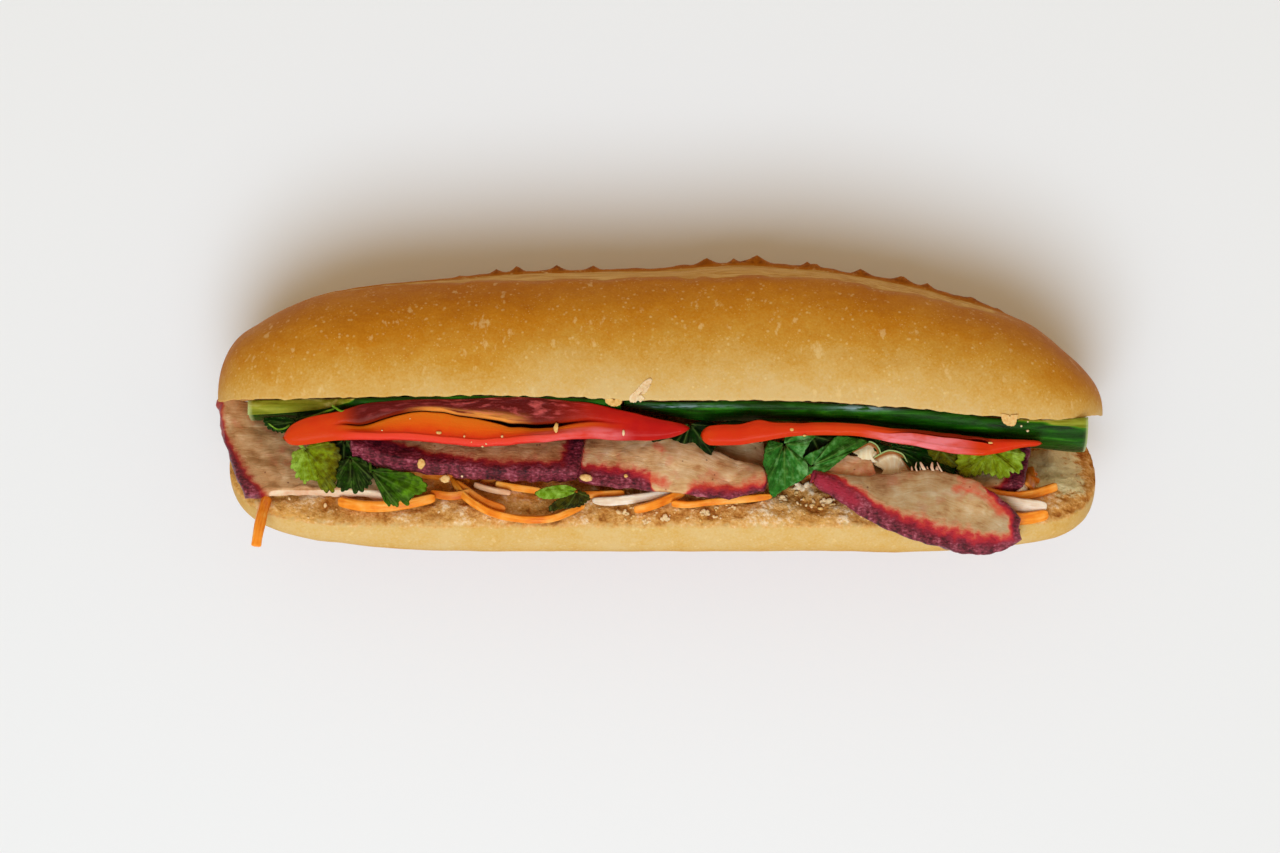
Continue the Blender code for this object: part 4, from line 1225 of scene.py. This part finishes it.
# Where the slices are seared red: a line, its reach and its strength.
SEARED = {
    "pork_middle": (
        (((-22, -24), (-14, -24.6), (-6, -24.8)), 1.6, 0.45),
        (((-3.4, -20.4), (0.6, -21.4)), 1.9, 0.95),
        (((-1.2, -11.2), (0.4, -12.6)), 1.2, 0.8),
        (((9, -22.4), (19, -23.4), (28.5, -20.6)), 1.9, 0.75),
    ),
    "pork_right_front": (
        (((81.3, -23.2), (85.5, -23.7), (89.6, -25.6), (93.6, -29.6)), 1.3, 0.85),
        (((83.2, -20.8), (88, -22.4)), 1.6, 0.6),
        (((43.5, -20.8), (48.5, -23.2), (53.5, -26.4)), 2.6, 0.95),
    ),
}


def torn_fibres():
    """Pale fibres that stick out of the back edge of the large slice at the right."""
    for index in range(12):
        x = 69.4 + 0.75 * index
        high = -17.1 + 1.4 * math.sin(2.1 * index)
        root = (x + 0.8 * math.sin(index), high, 59.4)
        path = (root, (x + 0.4, high - 2.0, 60.3), (x + 2.2, high - 4.4, 60.2))
        yield strip_shape(path, 0.6 + 0.3 * math.sin(3.7 * index), 0.4, stations=8, taper=2, fat=1.0)


def make_pork(look):
    slices = {name: slice_shape(**sizes) for name, sizes in PORK_SLICES.items()}
    for name, spots in SEARED.items():
        sear(slices[name], *spots)
    x, y, _ = slices["pork_far_left"].points.T
    slices["pork_far_left"].masks["fat"] = smoothstep(-23.2, -24.4, y) * smoothstep(-112, -106, x)
    x, y, _ = slices["pork_middle"].points.T
    slices["pork_middle"].masks["brown"] += 0.75 * np.exp(-((x + 17) / 6) ** 2) * smoothstep(-13.5, -11, y)
    salmon = slices.pop("salmon_piece")
    salmon.masks["tinge"] += 0.44
    salmon.masks["fat"] += 0.44
    slices["pork_right_back"] = join([slices["pork_right_back"], salmon])
    front = slices["pork_right_front"]
    x, y, _ = front.points.T
    front.masks["dim"] = 0.95 - 0.6 * np.exp(-((x - 86) / 7) ** 2 - ((y + 28.4) / 3.4) ** 2)
    front.masks["brown"] += 0.8 * np.exp(-(np.hypot(x - 61.5, y + 21.6) / 3.0) ** 2)
    slices["pork_right_front"] = join([front, *torn_fibres()])
    for node, shape in slices.items():
        stand_for(node, shape, look, "pork")


# ---------------------------------------------------------------- coriander

# Leaves of each bunch: outline in x and y, the stalk's end, height, lean, width and depth of the teeth,
# folds, veins, and the tint, olive and painted sheen of the colour, some from left to right. The lowest tints,
# near black, are painted shade on leaves that lie low under the others.
LEAVES = {
    "coriander_left": (
        (((-99, -12.3), (-101.2, -13.4), (-102.1, -15.1), (-101.5, -16.5), (-102.1, -17.9), (-100.4, -18.4),
         (-100.7, -20.1), (-99.3, -20.6), (-98.2, -21.7), (-97.1, -20.6), (-95.4, -21.2), (-94.6, -19.3),
         (-93.8, -22), (-93.5, -23.7), (-91.8, -24), (-90.2, -23.7), (-89.9, -21.5), (-89.6, -18.1),
         (-88.8, -15.4), (-89, -12.6), (-91.5, -10.7), (-96.5, -10.7)), (-98.5, -12.1), 58.6, (0.02, -0.1),
         (1.9, 0.75), 0.22, 4, ((0.98, 0.3), (0.6, 1), 0)),
        (((-89.6, -15.9), (-89.9, -18.7), (-89.4, -21.2), (-88.8, -23.1), (-87.4, -24), (-86, -23.1),
         (-84.6, -24.2), (-83, -24), (-81.6, -23.1), (-80.2, -22), (-79.9, -19.8), (-79.9, -17.6),
         (-82.7, -15.4), (-87.4, -14.3)), (-86, -14.8), 58.2, (0, -0.22), (1.9, 0.7), 0.25, 4, ((0.24, 0.1),
         0.12, 0)),
        (((-80.3, -18.1), (-76.4, -17.8), (-70.9, -18.9), (-67.6, -19.5), (-65.4, -21.4), (-64.5, -22.8),
         (-65.4, -24.2), (-67.6, -25), (-69, -25.9), (-69.5, -27.5), (-70.6, -27.5), (-71.7, -26.1),
         (-72.6, -28.1), (-73.7, -27.8), (-74.5, -26.4), (-75, -28.1), (-75.9, -26.7), (-76.2, -25),
         (-77.5, -23.4), (-78.6, -20.9)), (-80, -18.4), 60.8, (-0.02, -0.13), (2.2, 0.4),
         0.35, 5, ((0.26, 0.66), (0.1, 0.3), 0)),
        (((-90.7, -10.1), (-93.5, -12.6), (-90.7, -18.2), (-86.2, -20.4), (-80.1, -20.4), (-79, -16),
         (-81.8, -11.5), (-85.7, -9.3)), (-87.9, -9.8), 55.6, (0, -0.12), (1.4, 0.3), 0.3, 4, (0.02, 0, 0)),
    ),
    "coriander_middle": (
        (((30, -9.8), (28.9, -12.1), (28.6, -14.3), (28.4, -16.5), (29.2, -18.7), (29.7, -21.5), (30, -24),
         (31.1, -25.6), (33.1, -24.2), (35.8, -22.6), (38.6, -21.2), (40.5, -19.5), (40.8, -17),
         (39.4, -14.8), (40.3, -12.3), (41.7, -10.1), (43, -8.5), (38.6, -7.9), (34.5, -8.5)),
         (34.2, -10.9), 58.6, (0, -0.19), (2, 0.16), 0.55, 6, ((0.4, 0.62), 0.15, 0.85)),
        (((39.1, -15.1), (41.4, -13.4), (44.4, -12.1), (47.5, -10.1), (49.1, -8.7), (54.1, -9),
         (57.7, -10.1), (55.5, -11.8), (52.7, -13.2), (50.5, -15.1), (48.3, -16.8), (46.1, -18.4),
         (44.4, -19.5), (42.7, -19), (40.8, -19.5), (38.6, -20.9), (37.5, -18.1)), (41.9, -17),
         58.8, (-0.05, -0.12), (2, 0.14), 0.5, 6, ((0.58, 0.4), 0.1, (0.9, 0.3))),
        (((36, -9.3), (37.6, -13.2), (39.9, -16.5), (44.3, -17.6), (50.4, -14.9), (53.2, -11),
         (50.4, -8.2)), (42.1, -8.7), 55.4, (0, 0), (1.5, 0.2), 0.3, 3, (0.04, 0, 0)),
    ),
    "coriander_right": (
        (((59.9, -10.7), (59.6, -12.6), (61.6, -13.5), (64.4, -13.2), (67.2, -14), (69.1, -16.5),
         (70.5, -18.5), (72.2, -17.9), (74.4, -18.5), (76.6, -18.2), (78.8, -19), (80.5, -19.9),
         (81.9, -19.3), (81.9, -17.6), (79.1, -15.7), (76.3, -14), (74.1, -12.4), (68, -11.5),
         (63.8, -10.7)), (64.4, -11.8), 54.4, (0, -0.12), (2.2, 0.8), 0.3, 5, ((0.16, 0.1), 0, 0)),
        (((74, -12.6), (75.4, -14.9), (77.7, -16.2), (80.2, -17.1), (82.1, -17.4), (83.8, -14.9),
         (83.2, -12.6), (78.2, -11.5)), (77.7, -12.6), 55.2, (0, -0.05), (1.9, 0.5), 0.2, 3, (0.36, 1, 0)),
        (((85.9, -12.6), (83.2, -13.7), (82.1, -15.4), (82.6, -17.9), (83.2, -19.3), (84.8, -19.8),
         (85.9, -19.6), (87.9, -19.6), (89.5, -18.7), (90.9, -19.3), (92.9, -19.6), (94.8, -20.4),
         (96.5, -19.8), (97.3, -18.5), (99, -18.7), (100.4, -17.9), (100.1, -16.2), (101.2, -14.3),
         (99.8, -12.6), (95.7, -12.1), (90.9, -11.8)), (91.5, -12.3), 55.8, (0, -0.12), (2, 0.75),
         0.3, 6, ((0.6, 0.84), (0.95, 0.65), 0)),
    ),
    "coriander_loose": (
        (((-23.1, -23.4), (-26.1, -22.3), (-30, -22.5), (-33.1, -23.4), (-34.7, -24.5), (-33.1, -25.9),
         (-30, -26.1), (-26.7, -25.6), (-23.9, -24.5)), (-23.7, -23.9), 60.6, (0, -0.1), (1.6, 0.1),
         0.1, 3, (0.82, 0.45, 0)),
        (((-22.8, -23.7), (-20.6, -24.5), (-19.5, -25.9), (-20.6, -27), (-22, -28.1), (-24.5, -28.6),
         (-27.8, -28.9), (-30.3, -29.5), (-30.9, -28.6), (-28.9, -26.7), (-25.9, -25)), (-23.1, -24.2),
         60.2, (0, -0.08), (1.3, 0.3), 0.15, 3, (0.16, 0.9, 0)),
        (((-100.3, -4.6), (-104.5, -3.5), (-109.7, -3.7), (-110.3, -4.8), (-109.2, -6.5), (-107, -7.4),
         (-104.7, -7.9), (-103.1, -9.3), (-101.1, -8.2), (-99.5, -6.5)), (-101.4, -4.8), 54, (0, 0),
         (1.3, 0.4), 0.2, 3, (0.14, 0, 0)),
        (((-100.2, -1), (-101.4, -5.4), (-97.5, -7.6), (-92.5, -7.1), (-89.1, -3.2)), (-93.3, -2.1),
         54.5, (0, 0), (1.4, 0.3), 0.2, 3, (0.08, 0, 0)),
        (((1, -5.4), (-2.4, -9.9), (3.2, -11.5), (7.7, -14.9), (12.7, -15.4), (15.4, -11.5), (18.8, -7.6),
         (12.7, -4.3)), (8.2, -5.4), 54.2, (0, -0.1), (1.4, 0.4), 0.4, 4, (0.02, 0, 0)),
        (((20.4, -4.3), (15.4, -6), (17, -9.3), (21.5, -8.7), (25.4, -10.4), (29.2, -9.8), (30.4, -5.4)),
         (24.3, -4.9), 57, (0, 0), (1.5, 0.3), 0.2, 3, (0.06, 0, 0)),
        (((49.4, -6.5), (48.8, -11.5), (53.9, -12.6), (59.4, -12.1), (61.7, -8.2), (56.1, -6)), (55, -7.1),
         53.6, (0, 0), (1.5, 0.3), 0.2, 3, (0.05, 0, 0)),
    ),
}

# Stems of each bunch: path, width and tint. The cores below the leaves, coloured near black green as painted
# shade: back, front and thickness.
STEMS = {
    "coriander_left": (
        (((-101.4, -9, 57.4), (-100.2, -10.6, 58.2), (-99.2, -11.8, 58.2), (-98.4, -13, 58)), 1.1, 0.9),
        (((-82, -10, 56), (-80.6, -15, 58.2), (-80.2, -18.9, 59.6)), 0.7, 0.3),
    ),
    "coriander_loose": (
        (((-88.5, -1.6, 60.5), (-90.4, -0.4, 63.4), (-89.2, -1.2, 64.6), (-87.4, -1.9, 64.8),
         (-82, -1.6, 63)), 0.55, 0.75),
        (((-99, -4.2, 58), (-93, -2.2, 62.6), (-89.8, -1.2, 64.2)), 0.5, 0.6),
        (((-109, -5.2, 54.6), (-106.6, -6.8, 55.4), (-104.4, -6.6, 55.6), (-103, -5.6, 54.8)), 0.45, 0.7),
    ),
}
LEAF_CORES = {
    "coriander_left": (
        ((-97, -12.8, 53), (-88, -15, 54), (-78, -18.8, 55.4), (-70, -19.6, 56)),
        ((-96, -16, 55), (-88, -18, 55.4), (-77, -21, 56.4), (-71, -21, 56.4)),
        1.4,
    ),
    "coriander_middle": (
        ((33, -9.8, 52.5), (38, -9.8, 52.5), (43, -10.4, 53), (48, -11, 53.5)),
        ((33.5, -18, 56), (37, -16.4, 55.6), (42, -14.4, 55.2), (48, -13.2, 54.8)),
        1.2,
    ),
    "coriander_right": (
        ((77, -12.8, 51), (84, -13, 51.2), (92, -13.2, 51.6), (98, -13.6, 51.8)),
        ((78, -15, 52), (84, -15.8, 52.4), (91, -16, 52.8), (97, -15.4, 52.6)),
        1.2,
    ),
}


def make_coriander(look):
    for index, (name, leaves) in enumerate(LEAVES.items()):
        shapes = []
        for number, (*leaf, colours) in enumerate(leaves):
            masks = dict(zip(("tint", "olive", "frost"), colours))
            shapes.append(outline_sheet(*leaf, seed=10 * index + number, **masks))
        for path, width, tint in STEMS.get(name, ()):
            shapes.append(strip_shape(path, width, width, stations=20, taper=8, tint=tint, vein=0.2,
                                      frost=0.0, olive=0.3))
        if name in LEAF_CORES:
            back, front, thickness = LEAF_CORES[name]
            core = slice_shape((back, front), thickness, step=1.2, ragged=0.8, seed=91)
            # the core's near-black tint is painted shade below the leaves
            shapes.append(Shape(core.points, core.faces, tint=0.02, vein=0.0, frost=0.0, olive=0.0,
                                grain=core.masks["grain"]))
            stand_for(name, join(shapes), look, "coriander")
        else:
            place(build(name + "_detailed", join(shapes), look), "coriander")


# ---------------------------------------------------------------- onion, shreds and crumbs

# Rim and foot of each petal in x and y.
ONION_RIMS = (
    ("onion_petal_1", ((52.6, -12.9), (54.3, -12.1), (56, -11.2), (57.4, -10.5), (58.5, -10.4),
     (59.9, -11.2), (60.7, -12.3), (61.2, -13.7)), (56.8, -15.6)),
    ("onion_petal_2", ((58.2, -15.7), (59.6, -14.6), (61.2, -13.7), (62.9, -12.9), (64.3, -12.8),
     (66, -13.2), (67.4, -14), (68.2, -15.4), (69, -16.8), (70.1, -18.2)), (65, -20.6)),
)
ONION_HEIGHT = 54.6


def make_onion(look):
    """Thin curved petals: a pale rim on end, a hollow behind it painted brown as shade, and the flesh below."""
    for index, (node, rim, foot) in enumerate(ONION_RIMS):
        line = np.array(rim, float)
        foot = np.array(foot)
        wide = foot + (line - foot) * np.array([0.9, -0.10])
        levels = ((line, 0), (line + 0.22 * (foot - line), -0.7), (line + 0.55 * (foot - line), 0.3),
                  (wide, 0.2))
        lines = [np.column_stack([flat, np.full(len(line), ONION_HEIGHT + above)]) for flat, above in levels]
        petal = slice_shape(lines, 1.1, step=0.45, ragged=0.12, seed=81 + index, corner=0.1)
        # back marks the hollow behind the rim, which the look paints brown as shade
        petal.masks["back"] = np.clip(1 - petal.masks["grain"][:, 1] / MM / 3.2, 0, 1)
        edge = strip_shape(lines[0] + np.array([0, 0.05, 0.45]), 0.42, 0.6, stations=40, taper=30, green=1.0,
                           back=0.0)
        stand_for(node, join([petal, edge]), look, "onion")


# Shreds that are seen: path, width, thickness, radish share, shade and squareness of the ends.
VISIBLE_SHREDS = (
    (((-89.7, -26.8, 57), (-81.7, -28.2, 59.4), (-72, -27.8, 60.2), (-62.6, -25.8, 59.6)), 3, 1.4, 0, 0, 14),
    (((-58.2, -20.6, 59.6), (-54.9, -25, 60), (-50.5, -28.2, 61.2), (-45.8, -30.3, 61.8),
     (-40.2, -31.5, 62.2), (-34.7, -31.9, 62.2), (-29.7, -31.4, 62), (-25.9, -30, 61.2),
     (-20.9, -28, 59.6)), 2.1, 1.5, 0, 0, 10),
    (((-57.4, -21.6, 59.6), (-53.4, -24.6, 58.4), (-48.6, -27.4, 59.4), (-43, -29.2, 59.8)),
     3, 1, 0, 0.5, 6),
    (((-52, -22.2, 59), (-47.4, -23.6, 59.8), (-41.6, -24.6, 59.8)), 1.7, 1.2, 0.55, 0.1, 8),
    (((-46, -22, 59.6), (-40.6, -23, 60.4), (-33, -24, 60)), 2, 1.3, 0, 0, 10),
    (((-19, -26.6, 60.2), (-13.6, -26.8, 61), (-6, -25.9, 61), (2.8, -24.4, 59.6)), 2.6, 1.5, 1, 0, 3),
    (((-7.4, -29.2, 60.6), (-3, -28.2, 61.6), (1.2, -26.6, 61.6), (6.6, -24.2, 60)), 2.4, 1.5, 0, 0, 12),
    (((3, -27.4, 60.8), (8.1, -27.7, 61), (14, -27, 60.8), (21.6, -26.4, 60.6), (31, -25.4, 60)),
     2, 1.3, 0, 0, 12),
    (((-64, -24.6, 58.6), (-58, -25.4, 59.6), (-52, -24.2, 59.6)), 2.4, 1.2, 0, 0.4, 10),
    (((-24, -24.8, 58.6), (-18, -25, 59.6), (-10, -24.6, 59.6)), 2.2, 1.2, 0, 0.2, 10),
    (((88.6, -23.6, 57.4), (96.6, -25.4, 58.6), (103.5, -24.8, 59.2), (110.6, -22.7, 58.4)),
     2.5, 1.5, 0, 0, 20),
    (((91, -25.8, 60.4), (97, -27.4, 61.4), (102.6, -28.1, 61.4), (107, -28.2, 60.6)), 4, 1.4, 1, 0, 2.2),
    (((91.2, -28.6, 58), (98.5, -31.6, 58.8), (107.4, -30.4, 58.8)), 3.6, 1.2, 0, 0, 5),
    (((103.4, -18, 53.4), (103.6, -20.2, 55.2), (102.6, -23, 57)), 3.2, 1.4, 0, 0.2, 16),
    (((99, -25, 60), (100.8, -23.8, 60.4), (102.2, -21.6, 59.6)), 1.9, 1.2, 1, 0, 8),
)
HANGING_STRIP = (
    (-109.4, -25.6, 52.4), (-110.2, -29, 56.4), (-110.7, -32.3, 59.2), (-111.3, -36.2, 61),
    (-111.7, -39.3, 61.5),
)
# The heap's core: how far along the heel's cut, and how high above its crumb.
HEAP_SECTION = ((28, -0.2), (36, -0.5), (42, -0.5), (45, 0.2), (41, 1.0), (36, 1.6), (30, 1.2))
HIDDEN_SHREDS = 90


def make_shreds(look):
    shapes = []
    for path, width, thickness, radish, shade, squareness in VISIBLE_SHREDS:
        path = on_crumb(path, 0.5 * thickness + 0.4, 3.2)
        shapes.append(strip_shape(path, width, thickness, facing=(0, -0.25, 1), taper=squareness,
                                  radish=radish, shade=shade))
    rng = np.random.default_rng(7)
    for index in range(HIDDEN_SHREDS):
        x = rng.uniform(-70, 100)
        along = rng.uniform(37, 45)
        turn = rng.uniform(-0.5, 0.5)
        long = rng.uniform(7, 16)
        step = np.array([-0.5, -0.15, 0.2, 0.5]) * long
        bend = rng.uniform(-2.0, 2.0)
        xs = np.clip(x + step * math.cos(turn), -76, 106)
        alongs = np.clip(along + step * math.sin(turn) + bend * (1 - (2 * step / long) ** 2), 30, 48)
        above = crumb_swell(xs, RIM_ALONG - alongs) + np.array([0.5, 1.2, 1.2, 0.5]) + rng.uniform(0.0, 1.0)
        radish = float(index % 6 == 0)
        shapes.append(strip_shape(in_wedge(xs, alongs, above), rng.uniform(1.4, 2.4), rng.uniform(1.0, 1.5),
                                  facing=(0, -0.5, 1), stations=14, radish=radish, shade=0.35 + 0.3 * radish))
    low, high = box_mm("pickle_heap")
    x = np.linspace(low[0] + 3, high[0] - 3, 60)
    rings = np.stack([above_crumb(x, 0 * x + along, above) for along, above in HEAP_SECTION], 1)
    rings[..., 1] += 0.5 * noise(rings, 3, 95)
    rings[..., 2] += 0.4 * noise(rings, 2.5, 96)
    shapes.append(loft(rings, grain=rings * MM, radish=0.0, shade=0.8))
    stand_for("pickle_heap", join(shapes), look, "carrot")
    strip = strip_shape(HANGING_STRIP, 2.9, 1.4, facing=(0.1, -0.5, 1), taper=30, radish=0.0, shade=0.0)
    stand_for("carrot_strip_hanging", strip, look, "carrot")


# Chips of crust by the crown's cut edge and on the fillings: outline, middle, height, lean, whiteness.
RIM_FLAKES = (
    (((-4.3, 1.6), (-5.6, 0.6), (-6.2, 1.1), (-7.1, 0.5), (-8.4, 0.7), (-8.7, 1.8), (-7.9, 2.9),
     (-6.5, 4.2), (-5.4, 5.5), (-4.1, 6.7), (-2.7, 7.2), (-2.5, 6.2), (-3.4, 4.2), (-4.4, 2.9)),
     (-5.6, 2.9), 66.9, (0.05, -0.02), 0.8),
    (((93.4, -2.4), (93.6, -3.8), (94, -4.9), (94.8, -5.6), (95.6, -5.9), (96.8, -6), (97.5, -5.4),
     (97.9, -4), (98.3, -2.7)), (95.9, -3), 66.4, (0, 0.12), 0.15),
    (((-15.4, 2), (-15.2, 0.7), (-14.5, 0), (-13.4, -0.5), (-12, -0.5), (-10.9, 0.1), (-10.5, 1.2),
     (-10.6, 2.2)), (-12.8, 1.4), 66.3, (0, 0.1), 0),
)
# Crumbs by the fillings, then the ones that lie on the heel's crumb: centre, widths, whiteness.
PLACED_CRUMBS = (
    ((-66, -16.4, 62.4), (2.4, 3, 0.8), 0), ((-20.6, -20.2, 62), (3.9, 2.2, 1), 0.2),
    ((-28.8, -6.5, 65.6), (1.4, 2.7, 0.8), 0), ((-61, -7.8, 65.4), (1.6, 1, 0.7), 0),
    ((-43.6, -8.8, 65.8), (0.8, 0.7, 0.6), 0.2), ((-54, -8.8, 65.8), (0.7, 0.6, 0.5), 0.3),
    ((-69, -4, 64), (0.7, 0.7, 0.5), 0.3), ((-10.2, -7.9, 66.2), (0.8, 1.8, 0.5), 0.9),
    ((-59.6, -20.6, 61), (3, 2.2, 0.9), 0.2), ((-54.8, -19.8, 62), (0.7, 0.7, 0.5), 1),
    ((-52, -10.4, 65.8), (0.6, 0.5, 0.4), 0.4), ((-49, -11.6, 65.6), (0.7, 0.5, 0.4), 0.4),
    ((-48, -10.9, 65.8), (0.5, 0.5, 0.4), 0.9), ((-76.6, -7.2, 65.6), (0.5, 0.4, 0.4), 0.6),
    ((36, -7, 66), (1.2, 0.9, 0.5), 0), ((39.5, -8.6, 65.8), (0.9, 0.6, 0.5), 0),
    ((90.6, -10.6, 65.8), (1.4, 0.5, 0.4), 0), ((99.2, -6, 64.8), (0.6, 0.6, 0.5), 1),
    ((101, -7.3, 64.4), (0.8, 0.7, 0.6), 1), ((101, -4.8, 65), (0.5, 0.4, 0.4), 1),
    ((-9.6, -19.8, 61.8), (1.2, 1.1, 0.6), 0),
)
CRUMBS_ON_HEEL = (
    ((39.7, -23.2, 60.4), (5, 3, 2.2), 1), ((34, -26.4, 59.8), (2.2, 2.6, 1.4), 0.6),
    ((46, -27.2, 59.6), (3.4, 2.4, 1.2), 0.7), ((1.2, -31.8, 60.6), (2.6, 2, 1.2), 0.7),
    ((-10.6, -30.4, 60), (3.4, 1.8, 1.2), 0.5), ((55, -26.4, 59.2), (2.6, 1.8, 1), 0.8),
    ((12.4, -30.2, 59.2), (2.6, 2.2, 1), 0.6), ((20, -29, 59.2), (2.4, 1.8, 1), 0.5),
    ((-4, -32.6, 59.2), (2.4, 1.6, 1), 0.6), ((28, -28, 59.2), (2.2, 1.6, 1), 0.6),
)
LOOSE_CRUMBS = 240


def make_crumbs(look):
    """Crumbs of crust and bread on the fillings, the rim and the heel's cut."""
    shapes = [crumb_shape(centre, size, index + 1, white=white)
              for index, (centre, size, white) in enumerate(PLACED_CRUMBS)]
    for index, (centre, size, white) in enumerate(CRUMBS_ON_HEEL):
        middle = on_crumb(centre, -0.1, 0.3)
        for part in range(5):
            turn = 2.4 * part + index
            offset = 0.3 * np.array([size[0] * math.cos(turn), size[1] * math.sin(turn), 0.0])
            widths = np.array(size) * (0.5 + 0.12 * (part % 3))
            shapes.append(crumb_shape(middle + offset, widths, 5 * index + part + 30, turn, white=white))
    for index, (*flake, white) in enumerate(RIM_FLAKES):
        shapes.append(outline_sheet(*flake, (0.9, 0.12), half=0.22, ripple=0.3, seed=61 + index, white=white))
    rng = np.random.default_rng(11)
    for index in range(LOOSE_CRUMBS):
        x = rng.choice((rng.uniform(-14, 22), rng.uniform(28, 60), rng.uniform(-104, 104)))
        along = rng.uniform(47, 59.5) - 6 * (abs(x) / HALF_LENGTH) ** 8
        size = rng.uniform(0.4, 1.1)
        widths = (size * rng.uniform(1.0, 1.7), size, size * 0.8)
        centre = above_crumb(np.array(x), along, 0.1)
        shapes.append(crumb_shape(centre, widths, 50 + index, 2.4 * index, white=rng.uniform(0.0, 0.7)))
    place(build("bread_crumbs", join(shapes), look), "crust")


# ---------------------------------------------------------------- floor, lights and camera

# Lengths here are in metres. Each lamp has its kind, place, power, colour, width (an angle for the sun) and
# the kind of reflection it is left out of.
FLOOR_SIZE = 60.0
CAMERA_PLACE = (-0.0057, -0.0061, 1.045)
CAMERA_LENS = 100.2
DAYLIGHT = (0.68, 0.82, 1.0)
WARM_LIGHT = (1.0, 0.98, 0.95)
FLOOR_GREY = (0.80, 0.80, 0.80, 1)
AMBIENT = (1.0, 0.80, 0.51, 1)
BACKDROP = (0.84, 0.84, 0.85, 1)
LAMPS = {
    "key": ("AREA", (-0.066, -0.395, 0.750), 2.35, DAYLIGHT, 0.56, "glossy"),
    "sun": ("SUN", (-0.10, -0.60, 1.14), 1.90, DAYLIGHT, math.radians(36), "glossy"),
    "gloss": ("AREA", (0.10, -0.75, 0.95), 1.8, WARM_LIGHT, 0.35, "diffuse"),
}


def make_lamp(name, kind, where, power, colour, width, hidden_from):
    data = bpy.data.lights.new(name, kind)
    if kind == "AREA":
        data.shape = "DISK"
        data.size = width
    else:
        data.angle = width
    data.energy = power
    data.color = colour
    light = bpy.data.objects.new(name, data)
    light.location = where
    light.rotation_euler = (-Vector(where)).to_track_quat("-Z", "Y").to_euler()
    light.visible_camera = False
    setattr(light, "visible_" + hidden_from, False)
    bpy.context.scene.collection.objects.link(light)


def make_stage():
    mesh = bpy.data.meshes.new("floor")
    half = FLOOR_SIZE / 2
    corners = [(-half, -half, 0), (half, -half, 0), (half, half, 0), (-half, half, 0)]
    mesh.from_pydata(corners, [], [(0, 1, 2, 3)])
    material = bpy.data.materials.new("pale_floor")
    material.use_nodes = True
    shader = material.node_tree.nodes["Principled BSDF"]
    for socket, value in (("Base Color", FLOOR_GREY), ("Roughness", 0.9), ("Specular IOR Level", 0.1)):
        shader.inputs[socket].default_value = value
    mesh.materials.append(material)
    floor = bpy.data.objects.new("floor", mesh)
    bpy.context.scene.collection.objects.link(floor)
    for name, settings in LAMPS.items():
        make_lamp(name, *settings)

    world = bpy.data.worlds.new("studio")
    bpy.context.scene.world = world
    world.use_nodes = True
    nodes = world.node_tree.nodes
    links = world.node_tree.links
    ambient = nodes["Background"]
    ambient.inputs["Color"].default_value = AMBIENT
    ambient.inputs["Strength"].default_value = 0.54
    backdrop = nodes.new("ShaderNodeBackground")
    backdrop.inputs["Color"].default_value = BACKDROP
    seen = nodes.new("ShaderNodeLightPath").outputs["Is Camera Ray"]
    chosen = nodes.new("ShaderNodeMixShader")
    for index, source in enumerate((seen, ambient.outputs[0], backdrop.outputs[0])):
        links.new(source, chosen.inputs[index])
    links.new(chosen.outputs[0], nodes["World Output"].inputs["Surface"])


def make_camera():
    data = bpy.data.cameras.new("camera")
    data.lens = CAMERA_LENS
    data.sensor_width = 36.0
    camera = bpy.data.objects.new("camera", data)
    camera.location = CAMERA_PLACE
    bpy.context.scene.collection.objects.link(camera)
    bpy.context.scene.camera = camera


make_camera()
make_stage()
bpy.context.scene.view_settings.view_transform = "Standard"
make_bread(bread_look())
make_peppers(pepper_look())
make_cucumbers(cucumber_look())
make_pork(pork_look())
make_coriander(leaf_look())
make_onion(onion_look())
make_shreds(shred_look())
make_crumbs(bits_look())
